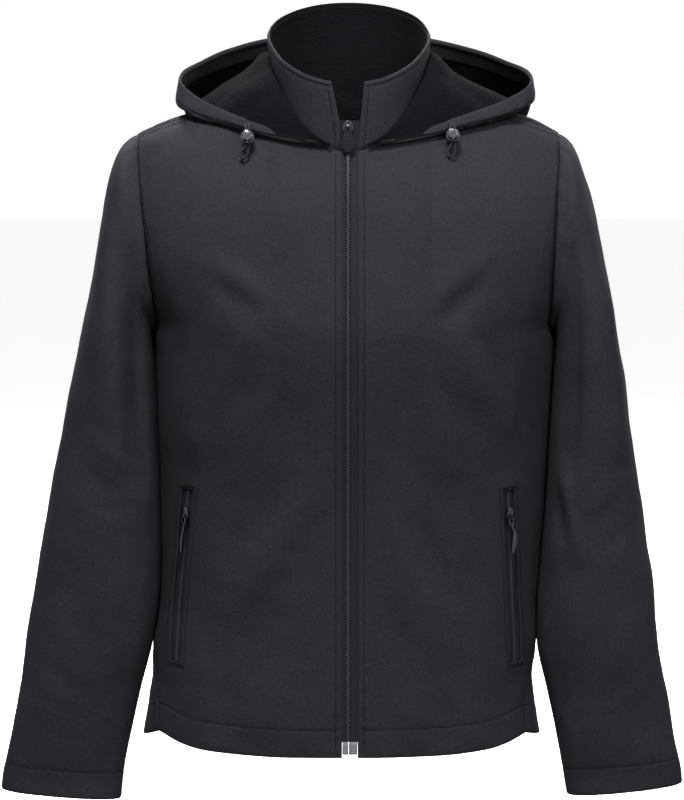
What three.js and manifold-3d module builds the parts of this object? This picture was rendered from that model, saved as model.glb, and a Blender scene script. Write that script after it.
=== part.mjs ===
// Hooded softshell jacket, worn form with no wearer: an open shell of cut and sewn panels.
// Millimetres, +Z up, the front faces -Y, the wearer's left is +X.
// The origin is the middle of the neck, level with the top of the shoulders at the neck.
import * as THREE from 'three';
import Module from 'manifold-3d';
import { mergeVertices } from 'three/addons/utils/BufferGeometryUtils.js';

const wasm = await Module();
wasm.setup();

// Driving dimensions
const CLOTH = 1.6;            // bonded softshell, one layer
const FOLDED = 2.8;           // where an edge is turned in and stitched
const COLLAR_CLOTH = 2.6;     // the collar is two layers
const SEAM = 0.35;            // between two pieces at a seam
const HEM_DEPTH = 27;         // turned-in hem and cuffs
const HEM_Z = -649;           // hem at the centre front, below the shoulder
const HEM_SIDE_RISE = 6;
const SHOULDER_SEAM_RUN = 12; // the seam starts this far before the shoulder line at the neck
const SHOULDER_SEAM_BOW = 20; // and bows forward on its way to the armhole
const NECK_HALF_WIDTH = 74;
const NECK_FRONT_DROP = 85;   // from the shoulder line carried across the neck
const NECK_BACK_DROP = 18;
const FRONT_ROLL = 150;       // how far down the shoulder rounds into the front
const BACK_ROLL = 80;
const BODY_POWER = 2.3;       // roundness of a section: 2 is an ellipse
const ARMHOLE_DEPTH = 205;
const COLLAR_FRONT = 62;      // height of the stand at the zip
const COLLAR_HALF_WIDTH = 79;
const ZIP_X = -1.3;           // middle of the teeth
const ZIP_EDGE = [-7, 8.3];   // folded edges of the right and the left front
const POCKET_LENGTH = 172;
const POCKET_GAP = 11;        // width of the opening over a pocket zip
const CHAIN_HALF = 3.2;       // front zip: teeth, half width, and their depths off the cloth
const CHAIN = [-0.3, -3.4];
const ZIP_TAPE = [-2.1, -3];
const TAPE_HALF = 20;
const TAPE_TOP_HALF = 11;
const ZIP_TOP_Z = -38;
const ZIP_FOOT_Z = -633.7;
const ZIP_END_Z = -645.5;
const POCKET_CHAIN = [-1, -2.4];
const POCKET_TAPE = [-2.7, -3.5];
const SLIDER_Z = -40;         // front zip slider, and the two at the pockets
const POCKET_SLIDER_Z = -417;
const BRIDGE_SPAN = 7;        // strap on a slider that holds its pull
const BRIDGE_RISE = 3.6;
const BRIDGE_THICK = 1;
const BRIDGE_WIDTH = 1.8;
const BAR = 1.3;              // bar of a pull, through the bridge of its slider
const BAR_LIFT = 1.25;        // its middle above the slider's plate
const PULL_THICK = 1.6;
const WINDOW_HALF = 1.6;      // opening of a pull, below its bar
const WINDOW_DOWN = 4.6;
const LOCK_RADIUS = 6.4;      // cord locks: barrel with a sprung button in its bore
const LOCK_LENGTH = 13;
const LOCK_TILT = 15;         // degrees the button looks up
const BORE_RADIUS = 4.9;
const BORE_FLOOR = 2.6;
const BUTTON = { radius: 4.6, back: 5.9, front: 16.2 };
const BUTTON_SLOT = [7.4, 13.5];
const CHANNEL = [7.4, 10.6];  // passage of the cord across the barrel
const CHANNEL_HALF = 3.3;
const CORD_DIAMETER = 2.4;
const CORD_APART = 3.3;       // middles of the two strands

// Shoulder line: distance from the middle, height
const SHOULDER = [
  { out: 0, z: 25 }, { out: 40, z: 14 }, { out: 74, z: 0 }, { out: 120, z: -13.5 },
  { out: 175, z: -29 }, { out: 190, z: -35 }, { out: 205, z: -42 }, { out: 212, z: -46 },
  { out: 240, z: -62 },
];

// Body sections: height, half widths to the wearer's right and left, depths before and behind
const BODY = [
  { z: 60, right: 240, left: 238, front: 88, back: 104 },
  { z: -45, right: 240, left: 238, front: 95, back: 108 },
  { z: -75, right: 238.5, left: 237.4, front: 98, back: 110 },
  { z: -105, right: 235.5, left: 235, front: 103, back: 112 },
  { z: -150, right: 222, left: 225, front: 110, back: 113 },
  { z: -180, right: 212, left: 216.5, front: 114, back: 113 },
  { z: -215, right: 199, left: 207, front: 117, back: 112 },
  { z: -240, right: 190, left: 198.5, front: 118, back: 110 },
  { z: -310, right: 187.5, left: 196.5, front: 114, back: 104 },
  { z: -400, right: 184, left: 193, front: 105, back: 97 },
  { z: -450, right: 183, left: 188.5, front: 103, back: 97 },
  { z: -510, right: 184, left: 183.5, front: 104, back: 101 },
  { z: -550, right: 191, left: 182.5, front: 106, back: 106 },
  { z: -600, right: 200, left: 185, front: 109, back: 110 },
  { z: -660, right: 210, left: 195, front: 112, back: 112 },
];

// Armhole: degrees round it from the top of the shoulder, turn of the body section there
const ARMHOLE = [
  { around: 0, turn: 61 }, { around: 45, turn: 60.2 }, { around: 66, turn: 59.8 },
  { around: 91, turn: 62.8 }, { around: 108, turn: 66.3 }, { around: 131, turn: 71.9 },
  { around: 149, turn: 77.6 }, { around: 180, turn: 90 },
];

// Where the armhole is divided, in front of the shoulder seam and behind it
const SEAM_AROUND = 9;
const AROUND_FRONT = [SEAM_AROUND, 28, 48, 68, 88, 108, 128, 146, 163, 180];
const AROUND_BACK = [SEAM_AROUND, 0, -20, -40, -60, -80, -100, -120, -140, -160, -180];

// Sleeve sections from the armhole down: outer and inner edge, half depth, set forward
const SLEEVE_RIGHT = [
  { outX: -226, outZ: -59, inX: -193.5, inZ: -243, depth: 60, lean: 0 },
  { outX: -238, outZ: -92, inX: -194, inZ: -247, depth: 62.5, lean: 0 },
  { outX: -245, outZ: -124, inX: -194, inZ: -252, depth: 64, lean: 0 },
  { outX: -252, outZ: -160, inX: -193.5, inZ: -259, depth: 65, lean: 0 },
  { outX: -259, outZ: -196, inX: -192.8, inZ: -269, depth: 65, lean: 0 },
  { outX: -266, outZ: -233, inX: -191.8, inZ: -283, depth: 64.5, lean: -1 },
  { outX: -273, outZ: -270, inX: -190.6, inZ: -302, depth: 63, lean: -1 },
  { outX: -281, outZ: -312, inX: -189.4, inZ: -328, depth: 61, lean: -2 },
  { outX: -290, outZ: -362, inX: -187.6, inZ: -368, depth: 58, lean: -3 },
  { outX: -299, outZ: -412, inX: -187, inZ: -414, depth: 55, lean: -5 },
  { outX: -308, outZ: -460, inX: -186.6, inZ: -462, depth: 51, lean: -8 },
  { outX: -317, outZ: -512, inX: -189.5, inZ: -512, depth: 46, lean: -12 },
  { outX: -324, outZ: -555, inX: -197.5, inZ: -556, depth: 41, lean: -16 },
  { outX: -330, outZ: -592, inX: -208, inZ: -596, depth: 36, lean: -19 },
  { outX: -336, outZ: -626, inX: -216.5, inZ: -634, depth: 31, lean: -22 },
  { outX: -342, outZ: -658, inX: -223.5, inZ: -668, depth: 27.5, lean: -24 },
  { outX: -346, outZ: -680, inX: -226.5, inZ: -690, depth: 25.5, lean: -25 },
  { outX: -348, outZ: -697, inX: -228, inZ: -707, depth: 25, lean: -26 },
];
const SLEEVE_LEFT = [
  { outX: 223, outZ: -58, inX: 202.5, inZ: -243, depth: 60, lean: 0 },
  { outX: 236, outZ: -92, inX: 203.5, inZ: -247, depth: 62.5, lean: 0 },
  { outX: 245, outZ: -124, inX: 203.5, inZ: -252, depth: 64, lean: 0 },
  { outX: 252, outZ: -160, inX: 203, inZ: -259, depth: 65, lean: 0 },
  { outX: 259, outZ: -196, inX: 202.5, inZ: -269, depth: 65, lean: 0 },
  { outX: 265, outZ: -233, inX: 201.6, inZ: -283, depth: 64.5, lean: -1 },
  { outX: 271, outZ: -270, inX: 200.6, inZ: -302, depth: 63, lean: -1 },
  { outX: 276, outZ: -312, inX: 199.4, inZ: -328, depth: 61, lean: -2 },
  { outX: 284, outZ: -362, inX: 197.6, inZ: -368, depth: 58, lean: -3 },
  { outX: 291.5, outZ: -412, inX: 195.2, inZ: -414, depth: 55, lean: -5 },
  { outX: 298.5, outZ: -460, inX: 190.8, inZ: -462, depth: 51, lean: -8 },
  { outX: 306, outZ: -512, inX: 187, inZ: -512, depth: 46, lean: -12 },
  { outX: 312, outZ: -555, inX: 188.5, inZ: -556, depth: 41, lean: -16 },
  { outX: 317.5, outZ: -592, inX: 197.5, inZ: -596, depth: 36, lean: -19 },
  { outX: 323, outZ: -624, inX: 205.5, inZ: -632, depth: 31, lean: -22 },
  { outX: 328.5, outZ: -656, inX: 212, inZ: -666, depth: 27.5, lean: -24 },
  { outX: 332, outZ: -675, inX: 215.5, inZ: -687, depth: 25.5, lean: -25 },
  { outX: 333.5, outZ: -691, inX: 218, inZ: -703, depth: 25, lean: -26 },
];

// Drape of the fronts: place of each soft hill or hollow, its spread along and across,
// the turn of its long side from level, and how far it stands out
const DRAPE = [
  { x: -88, z: -238, along: 80, across: 62, tilt: 0, out: 7 },
  { x: 88, z: -238, along: 80, across: 62, tilt: 0, out: 7 },
  { x: -135, z: -318, along: 85, across: 16, tilt: 38, out: -3 },
  { x: 132, z: -330, along: 90, across: 16, tilt: -40, out: -3 },
  { x: -60, z: -520, along: 120, across: 26, tilt: 84, out: 3 },
  { x: 70, z: -540, along: 120, across: 26, tilt: -82, out: 3 },
  { x: -150, z: -600, along: 80, across: 18, tilt: 80, out: 3.5 },
  { x: 145, z: -610, along: 70, across: 18, tilt: -80, out: 3 },
];

// Hood on one side, from the zip round to the middle of the back. On each section: place
// along the neck (degrees from the front), share of the collar's height where the cloth
// turns out, a point on the way, the lowest point, a point on the far wall, the free edge.
const HOOD = [
  { neck: 13, rise: 0.05, wayX: 22, wayY: -88.5, wayZ: -56, lowX: 27, lowY: -87, lowZ: -58,
    farX: 30, farY: -87, farZ: -55, rimX: 29, rimY: -86, rimZ: -51.5 },
  { neck: 24, rise: 0.1, wayX: 42, wayY: -83, wayZ: -48, lowX: 57, lowY: -79.5, lowZ: -54,
    farX: 61, farY: -79, farZ: -50, rimX: 60, rimY: -77, rimZ: -44 },
  { neck: 38, rise: 0.2, wayX: 66, wayY: -72, wayZ: -34, lowX: 89, lowY: -68, lowZ: -47,
    farX: 94, farY: -67.5, farZ: -42, rimX: 93, rimY: -65, rimZ: -34 },
  { neck: 53, rise: 0.34, wayX: 82, wayY: -61, wayZ: -18, lowX: 115, lowY: -56, lowZ: -40,
    farX: 120, farY: -55, farZ: -33, rimX: 119, rimY: -52, rimZ: -24 },
  { neck: 68, rise: 0.5, wayX: 92, wayY: -42, wayZ: 3, lowX: 138, lowY: -42, lowZ: -33,
    farX: 144, farY: -40, farZ: -26, rimX: 143, rimY: -36, rimZ: -13 },
  { neck: 82, rise: 0.58, wayX: 101, wayY: -15, wayZ: 11, lowX: 157, lowY: -24, lowZ: -26,
    farX: 166, farY: -19, farZ: -17, rimX: 166, rimY: -14, rimZ: 4 },
  { neck: 98, rise: 0.56, wayX: 106, wayY: 20, wayZ: 9, lowX: 155, lowY: 22, lowZ: -21,
    farX: 169, farY: 22, farZ: -12, rimX: 167, rimY: 16, rimZ: 17 },
  { neck: 115, rise: 0.46, wayX: 104, wayY: 62, wayZ: -10, lowX: 140, lowY: 90, lowZ: -58,
    farX: 164, farY: 78, farZ: -30, rimX: 152, rimY: 58, rimZ: 29 },
  { neck: 135, rise: 0.36, wayX: 82, wayY: 106, wayZ: -44, lowX: 108, lowY: 122, lowZ: -124,
    farX: 136, farY: 130, farZ: -58, rimX: 124, rimY: 94, rimZ: 44 },
  { neck: 157, rise: 0.3, wayX: 44, wayY: 119, wayZ: -66, lowX: 58, lowY: 131, lowZ: -162,
    farX: 74, farY: 163, farZ: -70, rimX: 76, rimY: 120, rimZ: 57 },
  { neck: 180, rise: 0.28, wayX: 0, wayY: 122, wayZ: -72, lowX: 0, lowY: 133, lowZ: -172,
    farX: 0, farY: 173, farZ: -70, rimX: 0, rimY: 129, rimZ: 60 },
];
const HOOD_LEFT_REACH = 1.08;   // the wearer's left corner lies this much further out

// Pocket openings: top and bottom of the middle line
const POCKETS = [
  { name: 'right', side: -1, topX: -157.6, topZ: -393.5, footX: -170, footZ: -563 },
  { name: 'left', side: 1, topX: 155.3, topZ: -396, footX: 162.8, footZ: -562 },
];
// Cord locks: middle of the barrel's back, where the cord leaves the hood, middle and
// bottom of the loop that hangs below
const LOCKS = [
  { name: 'right', x: -98.2, y: -67, z: -52.6, exitY: -66.1, exitZ: -38.2, loopX: -101.6, loopZ: -70 },
  { name: 'left', x: 99.6, y: -66.6, z: -50.9, exitY: -65.5, exitZ: -37.4, loopX: 98.2, loopZ: -68.6 },
];

// Pulls: height on the pull from its bar, middle and half width there
const FRONT_PULL = [
  { down: 0.65, middle: 0, half: 3.4 }, { down: -4, middle: 0, half: 3.4 },
  { down: -8, middle: 0, half: 4.6 }, { down: -14, middle: 0, half: 6.3 },
  { down: -18, middle: 0, half: 6.2 }, { down: -21, middle: 0, half: 4.8 },
  { down: -24, middle: 0, half: 2.6 },
];
const POCKET_PULL_RIGHT = [
  { down: 0.65, middle: 0, half: 3 }, { down: -5.4, middle: 0, half: 3 },
  { down: -8, middle: 0, half: 1.6 }, { down: -14, middle: -1, half: 1.6 },
  { down: -20, middle: -3.5, half: 2.4 }, { down: -28, middle: -4.5, half: 2.4 },
  { down: -36, middle: -4, half: 1.2 },
];
const POCKET_PULL_LEFT = [
  { down: 0.65, middle: 0, half: 3 }, { down: -5.4, middle: 0, half: 3 },
  { down: -8, middle: 1, half: 1.6 }, { down: -14, middle: 4, half: 1.8 },
  { down: -18, middle: 4.5, half: 2.4 }, { down: -26, middle: 3.5, half: 2.4 },
  { down: -35, middle: 2, half: 1.2 },
];

const FABRIC = { color: 0x2b2b2f, roughness: 0.82, metalness: 0 };
const FLEECE = { color: 0x26262b, roughness: 0.95, metalness: 0 };
const TAPE = { color: 0x1b1b1e, roughness: 0.8, metalness: 0 };
const TEETH = { color: 0x4a4a4e, roughness: 0.4, metalness: 0 };
const METAL = { color: 0x3a3a3d, roughness: 0.35, metalness: 0.9 };
const BRIGHT = { color: 0xb8b8bc, roughness: 0.3, metalness: 1 };
const RUBBER = { color: 0x2a2a2e, roughness: 0.55, metalness: 0 };
const LOCK = { color: 0x55555a, roughness: 0.3, metalness: 0 };
const CORD = { color: 0x1d1d20, roughness: 0.8, metalness: 0 };

const jacket = new THREE.Group();
const radians = THREE.MathUtils.degToRad;
const mix = THREE.MathUtils.lerp;
const vec = (x, y, z) => new THREE.Vector3(x, y, z);

// Smooth value of one column of a table, at a place given by another column
function read(table, key, at, column) {
  const up = table[1][key] > table[0][key];
  let i = 0;
  while (i < table.length - 2 && (up ? at > table[i + 1][key] : at < table[i + 1][key])) i++;
  const a = table[i];
  const b = table[i + 1];
  const before = table[Math.max(i - 1, 0)];
  const after = table[Math.min(i + 2, table.length - 1)];
  const span = b[key] - a[key];
  const t = THREE.MathUtils.clamp((at - a[key]) / span, 0, 1);
  const slopeA = (b[column] - before[column]) / (b[key] - before[key]) * span;
  const slopeB = (after[column] - a[column]) / (after[key] - a[key]) * span;
  const t2 = t * t;
  const t3 = t2 * t;
  return (2 * t3 - 3 * t2 + 1) * a[column] + (t3 - 2 * t2 + t) * slopeA
    + (3 * t2 - 2 * t3) * b[column] + (t3 - t2) * slopeB;
}

const shoulderZ = (x) => read(SHOULDER, 'out', Math.abs(x), 'z');
const halfWidth = (side, z) => read(BODY, 'z', z, side < 0 ? 'right' : 'left');

// Soft hills and hollows of the front at a place seen from the front
function drape(x, z) {
  let out = 0;
  for (const d of DRAPE) {
    const c = Math.cos(radians(d.tilt));
    const s = Math.sin(radians(d.tilt));
    const along = ((x - d.x) * c + (z - d.z) * s) / d.along;
    const across = ((z - d.z) * c - (x - d.x) * s) / d.across;
    out += d.out * Math.exp(-along * along - across * across);
  }
  return out;
}

// A point of the body. turn: angle of the section from its middle towards the side.
// run: way down from the shoulder line, in front of it (positive) or behind it (negative).
function body(side, turn, run) {
  const roll = run >= 0 ? FRONT_ROLL : BACK_ROLL;
  const arc = Math.abs(run);
  const quarter = roll * Math.PI / 2;
  const rolled = arc < quarter;
  const drop = rolled ? roll * (1 - Math.cos(arc / roll)) : roll + arc - quarter;
  const share = rolled ? Math.sin(run / roll) : Math.sign(run);
  let z = -drop;
  let x = 0;
  for (let i = 0; i < 5; i++) {
    x = halfWidth(side, z) * Math.sin(turn);
    z = shoulderZ(x) - drop;
  }
  const level = Math.abs(Math.sin(turn)) ** BODY_POWER;
  const round = Math.sign(Math.cos(turn)) * Math.max(1 - level, 0) ** (1 / BODY_POWER);
  const forward = round * share;
  const depth = read(BODY, 'z', z, forward > 0 ? 'front' : 'back');
  const soft = forward > 0 ? drape(side * x, z) * forward * forward : 0;
  return vec(side * x, -forward * (depth + soft), z);
}

// Outward direction of the body at the same place
function bodyNormal(side, turn, run) {
  const step = 0.01;
  const a = body(side, turn + step, run).sub(body(side, turn - step, run));
  const b = body(side, turn, run + 1).sub(body(side, turn, run - 1));
  return a.cross(b).multiplyScalar(-side).normalize();
}

// Run that reaches a given drop below the shoulder line, before or behind it
function runAt(drop, front) {
  const roll = front ? FRONT_ROLL : BACK_ROLL;
  const run = drop < roll ? roll * Math.acos(1 - drop / roll) : roll * Math.PI / 2 + drop - roll;
  return front ? run : -run;
}

// Turn that reaches a given distance from the middle
function turnAt(side, x, run) {
  let turn = 0.5;
  for (let i = 0; i < 12; i++) {
    const z = body(side, turn, run).z;
    turn = Math.asin(Math.min(Math.abs(x) / halfWidth(side, z), 1));
  }
  return turn;
}

// Body place under a point seen from the front or from behind
function placeAt(side, x, z, front) {
  const run = runAt(Math.max(shoulderZ(x) - z, 0.01), front);
  return { turn: turnAt(side, x, run), run };
}

// A point at a distance off the body, seen from the front or from behind
function offBody(side, x, z, front, off) {
  const place = placeAt(side, x, z, front);
  const normal = bodyNormal(side, place.turn, place.run);
  return body(side, place.turn, place.run).addScaledVector(normal, off);
}

function armhole(around) {
  const drop = ARMHOLE_DEPTH * (1 - Math.cos(radians(around))) / 2;
  return { turn: radians(read(ARMHOLE, 'around', Math.abs(around), 'turn')),
    run: runAt(Math.max(drop, 1e-6), around >= 0),
    pull: Math.abs(around) < 180 ? Math.min(1, 0.6 + Math.abs(Math.sin(radians(around)))) : 0 };
}

// Neck seam: degrees round it from the centre front to the centre back
const NECK_FRONT_RUN = runAt(NECK_FRONT_DROP, true);
const NECK_BACK_RUN = runAt(NECK_BACK_DROP, false);
function neck(side, degrees) {
  const c = Math.cos(radians(degrees));
  const run = c >= 0 ? NECK_FRONT_RUN * c : -NECK_BACK_RUN * c;
  return { turn: turnAt(side, NECK_HALF_WIDTH * Math.sin(radians(degrees)), run), run };
}
const NECK_SEAM = THREE.MathUtils.radToDeg(Math.acos(SHOULDER_SEAM_RUN / NECK_FRONT_RUN));
const zipEdgeNeck = (side) => THREE.MathUtils.radToDeg(
  Math.asin(Math.abs(ZIP_EDGE[side < 0 ? 0 : 1]) / NECK_HALF_WIDTH));

const spread = (from, to, count) =>
  Array.from({ length: count + 1 }, (_, i) => mix(from, to, i / count));
const NECK_FRONT = (side) => spread(zipEdgeNeck(side), NECK_SEAM, 5);
const NECK_BACK = spread(NECK_SEAM, 180, 6);

// Closed wall from a grid of outer points and their outward directions
function wall(points, normals, thickness, closed = false) {
  const rows = points.length;
  const columns = points[0].length;
  const positions = [];
  for (const layer of [0, 1]) {
    for (let i = 0; i < rows; i++) {
      for (let j = 0; j < columns; j++) {
        const depth = layer * thickness(i, j);
        const p = points[i][j].clone().addScaledVector(normals[i][j], -depth);
        positions.push(p.x, p.y, p.z);
      }
    }
  }
  const index = [];
  const at = (layer, i, j) => (layer * rows + i) * columns + j % columns;
  const quad = (a, b, c, d) => index.push(a, b, c, a, c, d);
  const across = closed ? columns : columns - 1;
  for (let i = 0; i < rows - 1; i++) {
    for (let j = 0; j < across; j++) {
      quad(at(0, i, j), at(0, i, j + 1), at(0, i + 1, j + 1), at(0, i + 1, j));
      quad(at(1, i, j), at(1, i + 1, j), at(1, i + 1, j + 1), at(1, i, j + 1));
    }
  }
  for (let j = 0; j < across; j++) {
    quad(at(0, 0, j), at(1, 0, j), at(1, 0, j + 1), at(0, 0, j + 1));
    quad(at(0, rows - 1, j), at(0, rows - 1, j + 1), at(1, rows - 1, j + 1), at(1, rows - 1, j));
  }
  if (!closed) {
    for (let i = 0; i < rows - 1; i++) {
      quad(at(0, i, 0), at(0, i + 1, 0), at(1, i + 1, 0), at(1, i, 0));
      const k = columns - 1;
      quad(at(0, i, k), at(1, i, k), at(1, i + 1, k), at(0, i + 1, k));
    }
  }
  const geometry = new THREE.BufferGeometry();
  geometry.setAttribute('position', new THREE.Float32BufferAttribute(positions, 3));
  geometry.setIndex(index);
  return facingOut(geometry);
}

// Turns a closed mesh inside out where its volume comes out negative
function facingOut(geometry) {
  const p = geometry.attributes.position;
  const index = geometry.index.array;
  const a = vec(0, 0, 0);
  const b = vec(0, 0, 0);
  const c = vec(0, 0, 0);
  let volume = 0;
  for (let i = 0; i < index.length; i += 3) {
    a.fromBufferAttribute(p, index[i]);
    b.fromBufferAttribute(p, index[i + 1]);
    c.fromBufferAttribute(p, index[i + 2]);
    volume += a.dot(b.cross(c));
  }
  if (volume < 0) {
    for (let i = 0; i < index.length; i += 3) {
      [index[i + 1], index[i + 2]] = [index[i + 2], index[i + 1]];
    }
  }
  return geometry;
}

// Outward directions of a grid, from its neighbours; sign turns them all over
function gridNormals(points, sign, closed = false) {
  const rows = points.length;
  const columns = points[0].length;
  return points.map((row, i) => row.map((_, j) => {
    const up = points[Math.min(i + 1, rows - 1)][j].clone().sub(points[Math.max(i - 1, 0)][j]);
    const next = closed ? row[(j + 1) % columns] : row[Math.min(j + 1, columns - 1)];
    const last = closed ? row[(j + columns - 1) % columns] : row[Math.max(j - 1, 0)];
    return next.clone().sub(last).cross(up).multiplyScalar(sign).normalize();
  }));
}

// Draws the edge of a grid back by half the seam, square to each edge
function seamBack(points, normals) {
  const lastRow = points.length - 1;
  const lastColumn = points[0].length - 1;
  const along = (i, j) => points[i][Math.min(j + 1, lastColumn)].clone()
    .sub(points[i][Math.max(j - 1, 0)]);
  const down = (i, j) => points[Math.min(i + 1, lastRow)][j].clone()
    .sub(points[Math.max(i - 1, 0)][j]);
  const half = [lastRow >> 1, lastColumn >> 1];
  const sense = Math.sign(along(...half).cross(normals[half[0]][half[1]]).dot(down(...half)));
  const moves = [];
  points.forEach((row, i) => row.forEach((_, j) => {
    const ways = [];
    if (i === 0 || i === lastRow) {
      ways.push(along(i, j).cross(normals[i][j]).multiplyScalar(i === 0 ? sense : -sense));
    }
    if (j === 0 || j === lastColumn) {
      ways.push(down(i, j).cross(normals[i][j]).multiplyScalar(j === 0 ? -sense : sense));
    }
    ways.forEach((way) => way.normalize());
    if (ways.length === 2) {
      ways[0].add(ways[1]).divideScalar(Math.max(1 + ways[0].dot(ways[1]), 0.4));
    }
    if (ways.length) moves.push([i, j, ways[0]]);
  }));
  for (const [i, j, way] of moves) points[i][j].addScaledVector(way, SEAM / 2);
}

// A seam line moved off the panels by half the seam; each has a point inside its panel
function offPanel(line, normals, inside, closed) {
  const count = line.length;
  return line.map((p, j) => {
    const next = closed ? line[(j + 1) % count] : line[Math.min(j + 1, count - 1)];
    const last = closed ? line[(j + count - 1) % count] : line[Math.max(j - 1, 0)];
    const way = next.clone().sub(last).cross(normals[j]).normalize();
    const turned = inside[j].clone().sub(p).dot(way) > 0;
    return p.clone().addScaledVector(way, turned ? -SEAM / 2 : SEAM / 2);
  });
}

function add(name, geometry, look) {
  const bare = geometry.clone();
  bare.deleteAttribute('normal');
  bare.deleteAttribute('uv');
  const mesh = new THREE.Mesh(mergeVertices(bare, 1e-4), new THREE.MeshStandardMaterial(look));
  mesh.name = name;
  jacket.add(mesh);
  return mesh;
}

// Solid for cutting and joining, and back
function solid(geometry) {
  const bare = geometry.index ? geometry.clone() : mergeVertices(geometry);
  bare.deleteAttribute('normal');
  bare.deleteAttribute('uv');
  const merged = mergeVertices(bare, 1e-4);
  return new wasm.Manifold(new wasm.Mesh({ numProp: 3,
    vertProperties: new Float32Array(merged.attributes.position.array),
    triVerts: new Uint32Array(merged.index.array) }));
}

function geometryOf(manifold) {
  const mesh = manifold.getMesh();
  const geometry = new THREE.BufferGeometry();
  geometry.setAttribute('position', new THREE.BufferAttribute(mesh.vertProperties, 3));
  geometry.setIndex(new THREE.BufferAttribute(mesh.triVerts, 1));
  return geometry;
}

// Hem height round the body
const hemZ = (turn) => HEM_Z + HEM_SIDE_RISE * Math.sin(turn) ** 6;
// The side seam leans forward below the waist
const sideLean = (z) => radians(22) * THREE.MathUtils.smoothstep(-z, 520, 640);

const BODY_ROWS = 20;
const ROW_SHARES = (() => {
  const hem = HEM_DEPTH / 600;
  const rest = spread(0, 1, BODY_ROWS - 2).slice(1).map((t) => mix(hem, 1, 1 - (1 - t) ** 1.45));
  return [0, hem / 2, hem, ...rest];
})();

// Grid of one panel half from the hem to its neck, shoulder and armhole
function panelGrid(side, front, tops, hemTurnFrom) {
  const count = tops.length;
  const points = ROW_SHARES.map(() => []);
  const normals = ROW_SHARES.map(() => []);
  for (let j = 0; j < count; j++) {
    const share = j / (count - 1);
    const hemTurn = mix(hemTurnFrom, Math.PI / 2, share);
    const hemX = halfWidth(side, HEM_Z) * Math.sin(hemTurn);
    const hemRun = runAt(shoulderZ(hemX) - hemZ(hemTurn), front);
    ROW_SHARES.forEach((v, i) => {
      const run = mix(hemRun, tops[j].run, v);
      const ease = v * v * (3 - 2 * v);
      let turn = mix(hemTurn, tops[j].turn, mix(v, ease, 0.5));
      if (!front && tops[j].turn < 0.02) turn = 0;
      const z = body(side, turn, run).z;
      turn += (front ? -1 : 1) * sideLean(z) * share ** 3;
      // The grid lines reach the armhole from inside it
      const near = (1 - v) / 0.06;
      turn -= radians(1.4) * (tops[j].pull ?? 0) * near * Math.exp(1 - near);
      points[i].push(body(side, turn, run));
      normals[i].push(bodyNormal(side, turn, run));
    });
  }
  return { points, normals };
}

function shoulderSeam(side) {
  const end = armhole(SEAM_AROUND);
  const start = neck(side, NECK_SEAM);
  return [0.27, 0.52, 0.77].map((t) =>
    ({ turn: mix(start.turn, end.turn, t),
      run: mix(start.run, end.run, t) + SHOULDER_SEAM_BOW * Math.sin(Math.PI * t) }));
}

// The hem is turned in, but for the stretch over the zip tape
const panelThickness = (i, j) => (i < 3 && j > 1 ? FOLDED : CLOTH);

// The two fronts, each with the opening over its pocket zip
function frontPanel(side, pocket) {
  const tops = [...NECK_FRONT(side).map((d) => neck(side, d)), ...shoulderSeam(side),
    ...AROUND_FRONT.map(armhole)];
  const zipTurn = Math.abs(ZIP_EDGE[side < 0 ? 0 : 1]) / halfWidth(side, HEM_Z);
  const { points, normals } = panelGrid(side, true, tops, zipTurn);
  // The edge at the zip runs straight down
  points.forEach((row, i) => {
    const x = ZIP_EDGE[side < 0 ? 0 : 1];
    row[0] = offBody(side, x, row[0].z, true, 0);
    normals[i][0] = vec(0, normals[i][0].y, normals[i][0].z).normalize();
  });
  seamBack(points, normals);
  const panel = solid(wall(points, normals, panelThickness));
  const opening = solid(pocketStrip(pocket, POCKET_GAP / 2, 6, -6, POCKET_LENGTH / 2));
  return geometryOf(panel.subtract(opening));
}

// The back, one piece from side seam to side seam and over the shoulders
function backPanel() {
  const tops = (side) => [...NECK_BACK.slice().reverse().map((d) => neck(side, d)),
    ...shoulderSeam(side), ...AROUND_BACK.map(armhole)];
  const right = panelGrid(-1, false, tops(-1), 0);
  const left = panelGrid(1, false, tops(1), 0);
  const join = (a, b) => a.map((row, i) => [...row.slice(1).reverse(), ...b[i]]);
  const points = join(right.points, left.points);
  const normals = join(right.normals, left.normals);
  const middle = right.points[0].length - 1;
  normals.forEach((row) => row[middle].setX(0).normalize());
  seamBack(points, normals);
  return wall(points, normals, (i) => (i < 3 ? FOLDED : CLOTH));
}

// Point of a rounded section, degrees from the outer edge towards the front
function sleevePoint(section, degrees) {
  const power = 2 / 2.25;
  const c = Math.cos(radians(degrees));
  const s = Math.sin(radians(degrees));
  const out = Math.sign(c) * Math.abs(c) ** power;
  const forward = Math.sign(s) * Math.abs(s) ** power;
  return vec((section.outX + section.inX) / 2 + (section.outX - section.inX) / 2 * out,
    section.lean - section.depth * forward,
    (section.outZ + section.inZ) / 2 + (section.outZ - section.inZ) / 2 * out);
}

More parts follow.
